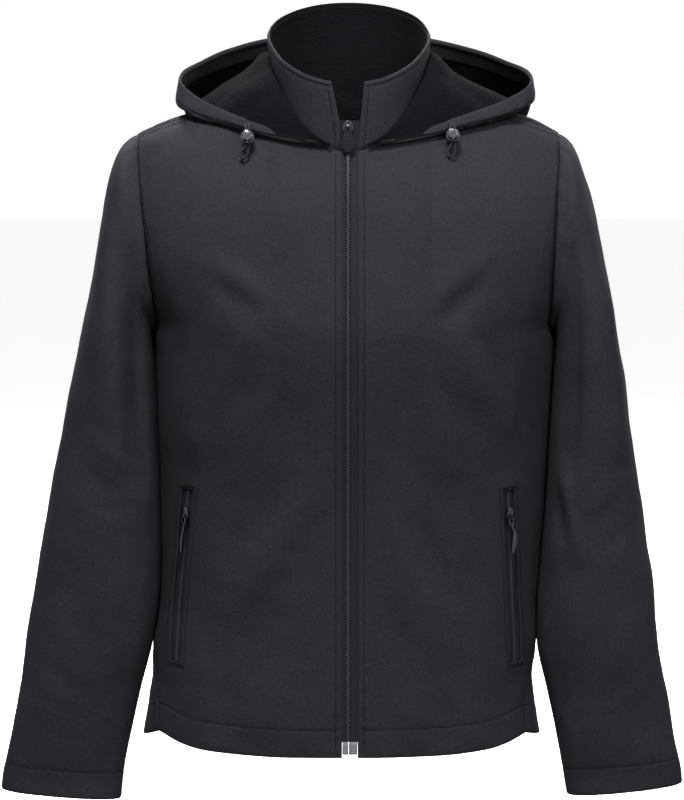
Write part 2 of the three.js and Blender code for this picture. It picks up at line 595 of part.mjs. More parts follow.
// A sleeve: first the armhole itself, then its sections down to the cuff
function sleeve(side, table) {
  const around = [0, ...AROUND_FRONT, ...AROUND_BACK.slice(2, -1).reverse()];
  const seam = around.map((d) => armhole(d));
  const seamPoints = seam.map((s) => body(side, s.turn, s.run));
  const seamNormals = seam.map((s) => bodyNormal(side, s.turn, s.run));
  const sections = table.map((section) => around.map((d) => sleevePoint(section, d)));
  const lead = seamPoints.map((p, j) => p.clone().lerp(sections[0][j], 0.13));
  const points = [seamPoints.map((p) => p.clone()), lead, ...sections];
  const cuffStart = sections[sections.length - 1].map((p, j) =>
    p.clone().lerp(sections[sections.length - 2][j], HEM_DEPTH / 17 - 1));
  points.splice(points.length - 2, 1, cuffStart);
  const normals = gridNormals(points, side, true);
  normals[0] = seamNormals;
  points[0] = offPanel(seamPoints, seamNormals, seam.map((place) =>
    body(side, place.turn - 0.03, place.run + 6 * Math.sign(place.run))), true);
  const last = points.length - 2;
  return wall(points, normals, (i) => (i >= last ? FOLDED : CLOTH), true);
}

// Stand collar: outer face, degrees round the neck and share of its height
function collar(side, degrees, share) {
  if (degrees > 180) return collar(-side, 360 - degrees, share);
  if (degrees < 0) return collar(-side, -degrees, share);
  const seam = neck(side, degrees);
  const foot = body(side, seam.turn, seam.run);
  const c = Math.cos(radians(degrees));
  const s = Math.sin(radians(degrees));
  const top = vec(side * COLLAR_HALF_WIDTH * Math.abs(s) ** 0.94,
    c > 0 ? -4 - 86 * c : -4 - 82 * c, 2 + (c > 0 ? 52 * (1 - c) ** 0.95 : 52 - 35 * c));
  const bulge = Math.sin(Math.PI * share);
  const out = vec(side * s, -c, 0);
  return foot.clone().addScaledVector(out, -1.5 * bulge).lerp(top, share)
    .addScaledVector(out, 1.2 * bulge);
}

const COLLAR_SHARES = [0, 0.035, 0.3, 0.62, 0.93, 1];
function collarNormal(side, degrees, share) {
  const around = collar(side, degrees + 1, share).sub(collar(side, degrees - 1, share));
  const up = collar(side, degrees, share + 0.02).sub(collar(side, degrees, share - 0.02));
  return around.cross(up).multiplyScalar(side).normalize();
}

// The collar opening: the right edge curves back, the left edge stands straight
const collarEdge = (side, share) => (side < 0 ? mix(-7, -15.6, share ** 1.6) : mix(8.3, 12.6, share));

function collarPiece() {
  const half = (side) => {
    const seam = [...NECK_FRONT(side), ...NECK_BACK.slice(1)];
    return COLLAR_SHARES.map((share) => seam.map((degrees, j) => {
      const edge = THREE.MathUtils.radToDeg(Math.asin(Math.abs(collarEdge(side, share)) / 76));
      const at = j === 0 ? edge : degrees;
      const { turn, run } = neck(side, degrees);
      return { point: collar(side, at, share),
        normal: share === 0 ? bodyNormal(side, turn, run) : collarNormal(side, at, share),
        panel: body(side, turn + 0.03, run * 1.08) };
    }));
  };
  const right = half(-1);
  const left = half(1);
  const join = (key) => right.map((row, i) =>
    [...row.map((cell) => cell[key]), ...left[i].map((cell) => cell[key]).reverse().slice(1)]);
  const points = join('point');
  const normals = join('normal');
  points[0] = offPanel(points[0], normals[0], join('panel')[0], false);
  const last = points[0].length - 1;
  return wall(points, normals, (i, j) =>
    (i === 0 || j < 2 || j > last - 2 ? CLOTH : COLLAR_CLOTH));
}

// Soft guard behind the opening of the collar, over the top of the zip
function chinGuard() {
  const rows = spread(0, 1, 7).map((t) => {
    const share = mix(0.47, 0.985, t);
    const right = collarEdge(-1, share) - 2.5;
    const left = collarEdge(1, share) + 2.5;
    return spread(0, 1, 5).map((u) => {
      const x = mix(right, left, u);
      const side = x < 0 ? -1 : 1;
      const at = THREE.MathUtils.radToDeg(Math.asin(Math.abs(x) / 78));
      const p = collar(side, at, share);
      p.y += CLOTH + SEAM + 0.45 - 1.6 * Math.sin(Math.PI * u) * Math.min(1, 3 * t);
      return p;
    });
  });
  return wall(rows, gridNormals(rows, 1), () => CLOTH);
}

// The hood: sections from the right front round the back to the left front
function hood() {
  const columns = [13, 17, 24, 31, 38, 45, 53, 60, 68, 75, 82, 90, 98, 106, 115, 125, 135, 146, 157,
    168, 180];
  const shares = [0, 1, 1.6, 2, 2.4, 2.8, 3.3, 3.75, 4, 4.5, 5, 5.5, 6, 6.45, 7, 7.5, 8];
  const section = (side, degrees) => {
    const value = (column) => read(HOOD, 'neck', degrees, column);
    const reach = (x) => side * x * (side > 0 && x > 100
      ? mix(1, HOOD_LEFT_REACH, Math.min((x - 100) / 60, 1)) : 1);
    const place = (key) => vec(reach(value(`${key}X`)), value(`${key}Y`), value(`${key}Z`));
    const beside = (share, off) => collar(side, degrees, share)
      .addScaledVector(collarNormal(side, degrees, Math.max(share, 0.1)), CLOTH + off);
    const rise = value('rise');
    const low = place('low');
    const inward = place('way').sub(low).normalize();
    const outward = place('far').sub(low).normalize();
    const up = inward.clone().add(outward).normalize();
    const over = inward.clone().sub(outward).normalize();
    const fold = mix(3.2, 8, THREE.MathUtils.smoothstep(degrees, 95, 135));
    const bend = (turn) => low.clone().addScaledVector(up, fold).addScaledVector(over, turn * fold);
    const path = [beside(0.06, 0.6), beside(mix(0.06, rise, 0.6), 1.2), beside(rise, 3),
      place('way'), bend(1), low, bend(-1), place('far'), place('rim')];
    const curve = new THREE.CatmullRomCurve3(path, false, 'centripetal');
    return shares.map((t) => curve.getPoint(t / (path.length - 1)));
  };
  const right = columns.map((d) => section(-1, d));
  const left = columns.map((d) => section(1, d));
  const sections = [...right, ...left.reverse().slice(1)];
  const points = shares.map((_, i) => sections.map((s) => s[i]));
  const normals = gridNormals(points, -1);
  const last = shares.length - 2;
  return wall(points, normals, (i) => (i >= last ? FOLDED - 0.6 : CLOTH));
}

// A strip over a pocket opening, between two heights off the cloth's outer face
function pocketStrip(pocket, half, outer, inner, reach) {
  const rows = 12;
  const middle = (t) => {
    const x = mix(pocket.topX, pocket.footX, t);
    return { x, z: mix(pocket.topZ, pocket.footZ, t) };
  };
  const length = Math.hypot(pocket.topX - pocket.footX, pocket.topZ - pocket.footZ);
  const extra = (reach * 2 - length) / 2 / length;
  const across = vec(pocket.topZ - pocket.footZ, 0, pocket.footX - pocket.topX).normalize();
  const positions = (off) => spread(-extra, 1 + extra, rows).map((t) => [-1, 0, 1].map((k) => {
    const m = middle(t);
    return offBody(pocket.side, m.x + across.x * half * k, m.z + across.z * half * k, true, off);
  }));
  const top = positions(outer);
  const low = positions(inner);
  const normals = top.map((row, i) => row.map((p, j) => p.clone().sub(low[i][j]).normalize()));
  return wall(top, normals, () => outer - inner);
}

// Front zip: strip along the middle of the front, between two depths off the cloth's face,
// broken where the fronts are
const FRONT_ROWS = (() => {
  const edge = neck(-1, zipEdgeNeck(-1));
  const foot = runAt(shoulderZ(ZIP_EDGE[0]) - HEM_Z, true);
  return ROW_SHARES.map((v) => body(-1, edge.turn, mix(foot, edge.run, v)).z);
})();
function frontStrip(fromX, toX, topZ, footZ, [outer, inner], narrow = (x) => x) {
  const collarRows = COLLAR_SHARES.slice(1, 3).map((share) => neckFrontZ + share * COLLAR_FRONT);
  const zs = [...FRONT_ROWS, ...collarRows].filter((z) => z > footZ + 1 && z < topZ - 1);
  const rows = [footZ, ...zs, topZ].map((z) => [fromX, toX].map((x) => {
    const point = onFront(narrow(x, z), z, outer);
    return { point, normal: point.clone().sub(onFront(narrow(x, z), z, inner)).normalize() };
  }));
  return wall(rows.map((row) => row.map((cell) => cell.point)),
    rows.map((row) => row.map((cell) => cell.normal)), () => outer - inner);
}

// The tapes run out to a narrow strip behind the collar
const tapeEdgeX = (x, z) => (Math.abs(x) < TAPE_HALF ? x
  : Math.sign(x) * mix(TAPE_HALF, TAPE_TOP_HALF, THREE.MathUtils.smoothstep(z, -80, -62)));

// Place on the fronts and on up the collar, near the middle line
function onFront(x, z, off) {
  const side = x < 0 ? -1 : 1;
  const level = (height) => {
    if (height < neckFrontZ) return offBody(side, x, height, true, 0).y;
    const share = (height - neckFrontZ) / COLLAR_FRONT;
    const edge = collar(side, zipEdgeNeck(side), share);
    const next = collar(side, NECK_FRONT(side)[1], share);
    return edge.y + (next.y - edge.y) * Math.max(0, (x - edge.x) / (next.x - edge.x));
  };
  const slope = (level(z + 2) - level(z - 2)) / 4;
  return vec(x, level(z), z).addScaledVector(vec(0, -1, slope).normalize(), off);
}
const neckFrontZ = (() => {
  const place = neck(-1, 0.5);
  return body(-1, place.turn, place.run).z;
})();

// Hardware is drawn flat: x across, y up along the zip, z out of the cloth
function prism(outline, from, to) {
  const shape = new THREE.Shape(outline.map(([x, y]) => new THREE.Vector2(x, y)));
  const geometry = new THREE.ExtrudeGeometry(shape, { depth: to - from, bevelEnabled: false, steps: 1 });
  return solid(geometry.translate(0, 0, from));
}

const block = (x0, x1, y0, y1, z0, z1) => prism([[x0, y0], [x1, y0], [x1, y1], [x0, y1]], z0, z1);

// Arched strap over a plate, open from side to side
function bridge(middle, foot, width) {
  const ring = (span, rise) => spread(0, Math.PI, 8).map((a) =>
    new THREE.Vector2(middle + span * Math.cos(a), foot + rise * Math.sin(a)));
  const outer = ring(BRIDGE_SPAN / 2, BRIDGE_RISE);
  const inner = ring(BRIDGE_SPAN / 2 - BRIDGE_THICK, BRIDGE_RISE - BRIDGE_THICK);
  outer.unshift(new THREE.Vector2(middle + BRIDGE_SPAN / 2, foot - 0.3));
  outer.push(new THREE.Vector2(middle - BRIDGE_SPAN / 2, foot - 0.3));
  inner.unshift(new THREE.Vector2(middle + BRIDGE_SPAN / 2 - BRIDGE_THICK, foot - 0.3));
  inner.push(new THREE.Vector2(middle - BRIDGE_SPAN / 2 + BRIDGE_THICK, foot - 0.3));
  const shape = new THREE.Shape([...outer, ...inner.reverse()]);
  const geometry = new THREE.ExtrudeGeometry(shape, { depth: width, bevelEnabled: false, steps: 1 });
  geometry.translate(0, 0, -width / 2);
  // Drawn in the plane of y and z, then its depth turned to x
  geometry.applyMatrix4(new THREE.Matrix4().makeBasis(vec(0, 1, 0), vec(0, 0, 1), vec(1, 0, 0)));
  return solid(geometry);
}

// Places a flat drawing on the cloth
function placed(manifold, origin, across, along) {
  const x = across.clone().normalize();
  const z = x.clone().cross(along).normalize();
  const y = z.clone().cross(x);
  const matrix = new THREE.Matrix4().makeBasis(x, y, z).setPosition(origin);
  return geometryOf(manifold).applyMatrix4(matrix);
}

// Slider plate, wide at the mouth and narrow at the nose
function sliderOutline(width, height) {
  return [[-width * 0.42, -height / 2], [width * 0.42, -height / 2], [width / 2, -height * 0.36],
    [width / 2, height * 0.12], [width * 0.32, height * 0.42], [width * 0.2, height / 2],
    [-width * 0.2, height / 2], [-width * 0.32, height * 0.42], [-width / 2, height * 0.12],
    [-width / 2, -height * 0.36]];
}

// A pull: a bar through the bridge, and a tab below it from a table of widths
function pull(rows) {
  const right = rows.map((r) => [r.middle + r.half, r.down]);
  const left = rows.map((r) => [r.middle - r.half, r.down]).reverse();
  const tab = prism([...left, ...right], -PULL_THICK / 2, PULL_THICK / 2);
  return tab.subtract(block(-WINDOW_HALF, WINDOW_HALF, -WINDOW_DOWN, -BAR / 2, -2, 2));
}

// Front zip slider: two plates joined at the nose, round the teeth, with slots for the tapes
const FRONT_SLIDER = { width: 9.5, height: 11, back: -5, front: 1.4, nose: 3.3, bridge: -0.5 };
function frontSlider() {
  const { width, height, back, front, nose, bridge: middle } = FRONT_SLIDER;
  const channel = block(-CHAIN_HALF - 0.3, CHAIN_HALF + 0.3, -height, nose,
    CHAIN[1] - 0.3, CHAIN[0] + 0.3);
  const slot = block(-width, width, -height, nose, ZIP_TAPE[1] - 0.3, ZIP_TAPE[0] + 0.3);
  return prism(sliderOutline(width, height), back, front).subtract(channel).subtract(slot)
    .add(bridge(middle, front, BRIDGE_WIDTH));
}

const POCKET_SLIDER = { width: 8, height: 15, back: -0.7, front: 1.9, bridge: -3.5 };
function pocketSlider() {
  const { width, height, back, front, bridge: middle } = POCKET_SLIDER;
  return prism(sliderOutline(width, height), back, front)
    .add(bridge(middle, front, BRIDGE_WIDTH));
}

// Frame of a zip at a height: place on the cloth's face, across the zip and along it
const frontFrame = {
  origin: onFront(ZIP_X, SLIDER_Z, 0),
  across: vec(1, 0, 0),
  along: onFront(ZIP_X, SLIDER_Z + 2, 0).sub(onFront(ZIP_X, SLIDER_Z - 2, 0)),
};
function pocketFrame(pocket, z) {
  const at = (dx, height) => {
    const t = (height - pocket.topZ) / (pocket.footZ - pocket.topZ);
    return offBody(pocket.side, mix(pocket.topX, pocket.footX, t) + dx, height, true, 0);
  };
  return { origin: at(0, z), across: at(3, z).sub(at(-3, z)), along: at(0, z + 6).sub(at(0, z - 6)) };
}

// Where a pull hangs in a zip's frame: bar's middle, and straight down from it
function pullFrame(frame, slider) {
  const x = frame.across.clone().normalize();
  const out = x.clone().cross(frame.along).normalize();
  const up = out.clone().cross(x);
  const origin = frame.origin.clone().addScaledVector(up, slider.bridge)
    .addScaledVector(out, slider.front + BAR_LIFT);
  const hang = vec(0, 0, 1).addScaledVector(x, -x.z).normalize();
  return { origin, across: x, along: hang };
}

const inFrame = (manifold, { origin, across, along }) => placed(manifold, origin, across, along);

// Cord lock: barrel with a bore for the button and a passage for the cord across it
const disc = (radius, from, to) =>
  prism(spread(0, 2 * Math.PI, 24).slice(1).map((a) => [radius * Math.cos(a), radius * Math.sin(a)]),
    from, to);
function lockBarrel() {
  return disc(LOCK_RADIUS, 0, LOCK_LENGTH)
    .subtract(disc(BORE_RADIUS, BORE_FLOOR, LOCK_LENGTH + 1))
    .subtract(block(-CHANNEL_HALF, CHANNEL_HALF, -9, 9, ...CHANNEL));
}
function lockButton() {
  return disc(BUTTON.radius, BUTTON.back, BUTTON.front)
    .subtract(block(-CHANNEL_HALF, CHANNEL_HALF, -9, 9, ...BUTTON_SLOT));
}
const lockFrame = (lock) => ({ origin: vec(lock.x, lock.y, lock.z), across: vec(1, 0, 0),
  along: vec(0, Math.sin(radians(LOCK_TILT)), Math.cos(radians(LOCK_TILT))) });

// Elastic cord: out of the hood, down through the lock, round a loop and back up beside itself
function hoodCord(lock) {
  const { along: up } = lockFrame(lock);
  const out = vec(0, -up.z, up.y);
  const middle = vec(lock.x, lock.y, lock.z).addScaledVector(out, (CHANNEL[0] + CHANNEL[1]) / 2);
  const strand = (k) => {
    const x = lock.x + k * CORD_APART / 2;
    const inside = (v) => middle.clone().addScaledVector(up, v).setX(x);
    const low = inside(-8.5);
    return [vec(x, lock.exitY, lock.exitZ), vec(x, lock.exitY - 3.4, lock.exitZ + 0.6),
      inside(9.4), inside(5), inside(0), inside(-5), low,
      vec(mix(x, lock.loopX, 0.6) + k * 2.2, low.y - 0.8, mix(low.z, lock.loopZ, 0.35)),
      vec(lock.loopX + k * 3.7, low.y - 1, mix(low.z, lock.loopZ, 0.7))];
  };
  const bottom = vec(lock.loopX, middle.y - 3.2, lock.loopZ);
  const curve = new THREE.CatmullRomCurve3([...strand(-1), bottom, ...strand(1).reverse()],
    false, 'centripetal');
  const section = new THREE.Shape(spread(0, 2 * Math.PI, 8).slice(1).map((a) =>
    new THREE.Vector2(Math.cos(a), Math.sin(a)).multiplyScalar(CORD_DIAMETER / 2)));
  return new THREE.ExtrudeGeometry(section, { steps: 28, extrudePath: curve, bevelEnabled: false });
}

const pocketOf = (side) => POCKETS.find((p) => p.side === side);
add('front_right', frontPanel(-1, pocketOf(-1)), FABRIC);
add('front_left', frontPanel(1, pocketOf(1)), FABRIC);
add('back', backPanel(), FABRIC);
add('sleeve_right', sleeve(-1, SLEEVE_RIGHT), FABRIC);
add('sleeve_left', sleeve(1, SLEEVE_LEFT), FABRIC);
add('collar', collarPiece(), FABRIC);
add('hood', hood(), FABRIC);
add('chin_guard', chinGuard(), FLEECE);

const tapeEdge = CHAIN_HALF + 0.3;
add('zip_tape_right', frontStrip(-TAPE_HALF, ZIP_X - tapeEdge, ZIP_TOP_Z, ZIP_FOOT_Z, ZIP_TAPE,
  tapeEdgeX), TAPE);
add('zip_tape_left', frontStrip(ZIP_X + tapeEdge, TAPE_HALF, ZIP_TOP_Z, ZIP_FOOT_Z, ZIP_TAPE,
  tapeEdgeX), TAPE);
add('zip_chain', frontStrip(ZIP_X - CHAIN_HALF, ZIP_X + CHAIN_HALF, ZIP_TOP_Z, ZIP_FOOT_Z + 0.1,
  CHAIN), TEETH);
add('zip_pin', frontStrip(-6.6, -0.9, ZIP_FOOT_Z - 0.3, ZIP_END_Z, [0.6, -4]), BRIGHT);
add('zip_retainer', frontStrip(-0.5, 7.9, ZIP_FOOT_Z - 0.3, ZIP_END_Z, [0.6, -4]), BRIGHT);
add('zip_slider', inFrame(frontSlider(), frontFrame), METAL);
add('zip_pull', inFrame(pull(FRONT_PULL), pullFrame(frontFrame, FRONT_SLIDER)), RUBBER);

for (const pocket of POCKETS) {
  const { name, side } = pocket;
  const frame = pocketFrame(pocket, POCKET_SLIDER_Z);
  const rows = side < 0 ? POCKET_PULL_RIGHT : POCKET_PULL_LEFT;
  const reach = POCKET_LENGTH / 2;
  add(`pocket_tape_${name}`, pocketStrip(pocket, POCKET_GAP / 2 + 4, ...POCKET_TAPE, reach + 4), TAPE);
  add(`pocket_chain_${name}`, pocketStrip(pocket, 2.2, ...POCKET_CHAIN, reach - 1), TEETH);
  add(`pocket_slider_${name}`, inFrame(pocketSlider(), frame), METAL);
  add(`pocket_pull_${name}`, inFrame(pull(rows), pullFrame(frame, POCKET_SLIDER)), RUBBER);
}

for (const lock of LOCKS) {
  add(`hood_cord_${lock.name}`, hoodCord(lock), CORD);
  add(`cord_lock_${lock.name}`, inFrame(lockBarrel(), lockFrame(lock)), LOCK);
  add(`lock_button_${lock.name}`, inFrame(lockButton(), lockFrame(lock)), LOCK);
}

export default jacket;
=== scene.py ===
import math

import bmesh
import bpy
import numpy as np
from bpy.props import FloatProperty, FloatVectorProperty, PointerProperty
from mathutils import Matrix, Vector
from mathutils.bvhtree import BVHTree


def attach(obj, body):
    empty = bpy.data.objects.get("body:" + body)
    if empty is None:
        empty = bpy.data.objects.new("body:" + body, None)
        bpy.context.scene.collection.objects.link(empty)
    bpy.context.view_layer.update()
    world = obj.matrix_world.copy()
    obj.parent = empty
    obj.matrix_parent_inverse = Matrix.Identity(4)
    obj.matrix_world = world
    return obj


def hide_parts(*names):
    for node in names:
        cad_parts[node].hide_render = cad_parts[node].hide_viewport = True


bl_info = {
    "name": "Hooded Softshell Jacket",
    "version": (1, 0, 0),
    "blender": (4, 5, 0),
    "location": "View3D > Sidebar > Softshell",
    "description": "Sews, zips and finishes a hooded softshell jacket on its worn form",
    "category": "Object",
}

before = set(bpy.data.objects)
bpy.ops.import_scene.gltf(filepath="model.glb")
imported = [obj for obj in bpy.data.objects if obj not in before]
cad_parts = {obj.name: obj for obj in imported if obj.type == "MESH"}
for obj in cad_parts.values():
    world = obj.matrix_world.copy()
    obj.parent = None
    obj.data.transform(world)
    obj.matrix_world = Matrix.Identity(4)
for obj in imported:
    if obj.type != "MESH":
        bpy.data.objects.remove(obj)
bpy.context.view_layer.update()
MM = 0.001

# Sizes of the cut, in millimetres
CLOTH = 1.6
FOLDED = 2.8
COLLAR_CLOTH = 2.6
HOOD_EDGE = 2.2
SEAM = 0.35
HEM_DEPTH = 27
HEM_Z = -649
HEM_SIDE_RISE = 6
SHOULDER_SEAM_RUN = 12
SHOULDER_SEAM_BOW = 20
NECK_HALF_WIDTH = 74
NECK_FRONT_DROP = 85
NECK_BACK_DROP = 18
FRONT_ROLL = 150
BACK_ROLL = 80
BODY_POWER = 2.3
SLEEVE_POWER = 2.25
ARMHOLE_DEPTH = 205
COLLAR_FRONT = 62
COLLAR_HALF_WIDTH = 79
ZIP_X = -1.3
ZIP_EDGE = {-1: -7, 1: 8.3}
POCKET_LENGTH = 172
POCKET_GAP = 11
LOCK_TILT = 15
CORD_DIAMETER = 2.4
CORD_APART = 3.3
CHANNEL_MIDDLE = 9
SEAM_AROUND = 9
HOOD_LEFT_REACH = 1.08
HOOD_CASING = 18.5
# Topstitching: one row from an opening's edge, and twin rows from a seam
EDGE_STITCH = 6
TWIN_STITCH = (5.2, 8.6)
POCKET_STITCH_OUT = 8.6
POCKET_STITCH_HALF = 89.5
BARTACK_ROWS = 5
TAPE_SUNK = -2.1
LOCK_RADIUS = 6.4


def table(columns, *rows):
    """A table of sizes: its columns by name, with its rows in rising order of the first."""
    values = np.array(sorted(rows), dtype=float)
    return {name: values[:, k] for k, name in enumerate(columns.split())}


SHOULDER = table(
    "out z",
    (0, 25), (40, 14), (74, 0), (120, -13.5), (175, -29), (190, -35), (205, -42), (212, -46), (240, -62),
)

BODY = table(
    "z right left front back",
    (60, 240, 238, 88, 104), (-45, 240, 238, 95, 108), (-75, 238.5, 237.4, 98, 110),
    (-105, 235.5, 235, 103, 112), (-150, 222, 225, 110, 113), (-180, 212, 216.5, 114, 113),
    (-215, 199, 207, 117, 112), (-240, 190, 198.5, 118, 110), (-310, 187.5, 196.5, 114, 104),
    (-400, 184, 193, 105, 97), (-450, 183, 188.5, 103, 97), (-510, 184, 183.5, 104, 101),
    (-550, 191, 182.5, 106, 106), (-600, 200, 185, 109, 110), (-660, 210, 195, 112, 112),
)

ARMHOLE = table(
    "around turn",
    (0, 61), (45, 60.2), (66, 59.8), (91, 62.8), (108, 66.3), (131, 71.9), (149, 77.6), (180, 90),
)

# Sleeve sections from the armhole down
SLEEVE_COLUMNS = "row outX outZ inX inZ depth lean"
SLEEVES = {
    -1: table(
        SLEEVE_COLUMNS,
        (0, -226, -59, -193.5, -243, 60, 0), (1, -238, -92, -194, -247, 62.5, 0),
        (2, -245, -124, -194, -252, 64, 0), (3, -252, -160, -193.5, -259, 65, 0),
        (4, -259, -196, -192.8, -269, 65, 0), (5, -266, -233, -191.8, -283, 64.5, -1),
        (6, -273, -270, -190.6, -302, 63, -1), (7, -281, -312, -189.4, -328, 61, -2),
        (8, -290, -362, -187.6, -368, 58, -3), (9, -299, -412, -187, -414, 55, -5),
        (10, -308, -460, -186.6, -462, 51, -8), (11, -317, -512, -189.5, -512, 46, -12),
        (12, -324, -555, -197.5, -556, 41, -16), (13, -330, -592, -208, -596, 36, -19),
        (14, -336, -626, -216.5, -634, 31, -22), (15, -342, -658, -223.5, -668, 27.5, -24),
        (16, -346, -680, -226.5, -690, 25.5, -25), (17, -348, -697, -228, -707, 25, -26),
    ),
    1: table(
        SLEEVE_COLUMNS,
        (0, 223, -58, 202.5, -243, 60, 0), (1, 236, -92, 203.5, -247, 62.5, 0),
        (2, 245, -124, 203.5, -252, 64, 0), (3, 252, -160, 203, -259, 65, 0),
        (4, 259, -196, 202.5, -269, 65, 0), (5, 265, -233, 201.6, -283, 64.5, -1),
        (6, 271, -270, 200.6, -302, 63, -1), (7, 276, -312, 199.4, -328, 61, -2),
        (8, 284, -362, 197.6, -368, 58, -3), (9, 291.5, -412, 195.2, -414, 55, -5),
        (10, 298.5, -460, 190.8, -462, 51, -8), (11, 306, -512, 187, -512, 46, -12),
        (12, 312, -555, 188.5, -556, 41, -16), (13, 317.5, -592, 197.5, -596, 36, -19),
        (14, 323, -624, 205.5, -632, 31, -22), (15, 328.5, -656, 212, -666, 27.5, -24),
        (16, 332, -675, 215.5, -687, 25.5, -25), (17, 333.5, -691, 218, -703, 25, -26),
    ),
}

# Main shape of the fronts: soft hills and hollows
DRAPE = table(
    "x z along across tilt out",
    (-88, -238, 80, 62, 0, 7), (88, -238, 80, 62, 0, 7), (-135, -318, 85, 16, 38, -3),
    (132, -330, 90, 16, -40, -3), (-60, -520, 120, 26, 84, 3), (70, -540, 120, 26, -82, 3),
    (-150, -600, 80, 18, 80, 3.5), (145, -610, 70, 18, -80, 3),
)

HOOD = table(
    "neck rise wayX wayY wayZ lowX lowY lowZ farX farY farZ rimX rimY rimZ",
    (13, 0.05, 22, -88.5, -56, 27, -87, -58, 30, -87, -55, 29, -86, -51.5),
    (24, 0.1, 42, -83, -48, 57, -79.5, -54, 61, -79, -50, 60, -77, -44),
    (38, 0.2, 66, -72, -34, 89, -68, -47, 94, -67.5, -42, 93, -65, -34),
    (53, 0.34, 82, -61, -18, 115, -56, -40, 120, -55, -33, 119, -52, -24),
    (68, 0.5, 92, -42, 3, 138, -42, -33, 144, -40, -26, 143, -36, -13),
    (82, 0.58, 101, -15, 11, 157, -24, -26, 166, -19, -17, 166, -14, 4),
    (98, 0.56, 106, 20, 9, 155, 22, -21, 169, 22, -12, 167, 16, 17),
    (115, 0.46, 104, 62, -10, 140, 90, -58, 164, 78, -30, 152, 58, 29),
    (135, 0.36, 82, 106, -44, 108, 122, -124, 136, 130, -58, 124, 94, 44),
    (157, 0.3, 44, 119, -66, 58, 131, -162, 74, 163, -70, 76, 120, 57),
    (180, 0.28, 0, 122, -72, 0, 133, -172, 0, 173, -70, 0, 129, 60),
)

POCKETS = {
    -1: {"top": (-157.6, -393.5), "foot": (-170, -563)},
    1: {"top": (155.3, -396), "foot": (162.8, -562)},
}
LOCKS = {
    "right": {"at": (-98.2, -67, -52.6), "exit": (-66.1, -38.2), "loop": (-101.6, -70)},
    "left": {"at": (99.6, -66.6, -50.9), "exit": (-65.5, -37.4), "loop": (98.2, -68.6)},
}


# The garment's surfaces, in millimetres. They take arrays and return points in their last axis.


def smooth(value, low, high):
    """0 below low, 1 above high, eased between."""
    t = np.clip((value - low) / (high - low), 0, 1)
    return t * t * (3 - 2 * t)


def mix(a, b, t):
    return a + (b - a) * t


def through(knots, values, at):
    """A smooth curve through values at rising knots, read at any places."""
    at = np.asarray(at, dtype=float)
    last = len(knots) - 1
    i = np.clip(np.searchsorted(knots, at, side="right") - 1, 0, last - 1)
    before = np.maximum(i - 1, 0)
    after = np.minimum(i + 2, last)
    span = knots[i + 1] - knots[i]
    t = np.clip((at - knots[i]) / span, 0, 1)
    slope_a = span / (knots[i + 1] - knots[before])
    slope_b = span / (knots[after] - knots[i])
    extra = (1,) * (np.ndim(values) - 1)
    t, slope_a, slope_b = (v.reshape(v.shape + extra) for v in (t, slope_a, slope_b))
    start = (values[i + 1] - values[before]) * slope_a
    end = (values[after] - values[i]) * slope_b
    t2 = t * t
    t3 = t2 * t
    return (
        (2 * t3 - 3 * t2 + 1) * values[i]
        + (t3 - 2 * t2 + t) * start
        + (3 * t2 - 2 * t3) * values[i + 1]
        + (t3 - t2) * end
    )


def read(rows, column, at):
    """Smooth value of a table's column at places of its first column."""
    return through(next(iter(rows.values())), rows[column], at)


def unit(vectors):
    length = np.linalg.norm(vectors, axis=-1, keepdims=True)
    return vectors / np.maximum(length, 1e-9)


def running(steps):
    """Distances from a line's start, from the steps between its places."""
    return np.concatenate([[0], np.cumsum(steps)])


def between(line, at):
    """Places between those of a line, at counts of its own places."""
    return np.stack([np.interp(at, np.arange(len(line)), line[:, k]) for k in range(3)], -1)


def row_at(grid, out, way, depth):
    """The line across a grid where its way is nearest to a depth, and its outward directions."""
    pick = np.argmin(np.abs(way - depth), axis=0)
    columns = np.arange(grid.shape[1])
    return grid[pick, columns], out[pick, columns]


SHOULDER_OUT = np.arange(0, 271, 9.0)
# Cloth spans each change of slope, so the line is the mean of what lies a little to both sides
SHOULDER_LINE = sum(
    read(SHOULDER, "z", np.abs(SHOULDER_OUT + off)) for off in (-22, -11, 0, 11, 22)
) / 5


def shoulder_z(x):
    return through(SHOULDER_OUT, SHOULDER_LINE, np.abs(x))


def half_width(side, z):
    return read(BODY, "right" if side < 0 else "left", z)


def to_sleeve(side, z):
    """How far the body's side stands out to lie against the sleeve, from armpit to hip."""
    sleeve = SLEEVES[side]
    inside = np.interp(-z, -sleeve["inZ"], np.abs(sleeve["inX"]))
    return (inside + 0.9 - half_width(side, z)) * smooth(-z, 226, 244) * (1 - smooth(-z, 540, 590))


def ridge(rows, x, z):
    """Sum of soft hills and hollows at places seen from the front."""
    out = np.zeros(np.broadcast(x, z).shape)
    for k in range(len(rows["x"])):
        hill = {name: column[k] for name, column in rows.items()}
        c = math.cos(math.radians(hill["tilt"]))
        s = math.sin(math.radians(hill["tilt"]))
        along = ((x - hill["x"]) * c + (z - hill["z"]) * s) / hill["along"]
        across = ((z - hill["z"]) * c - (x - hill["x"]) * s) / hill["across"]
        out = out + hill["out"] * np.exp(-along * along - across * across)
    return out


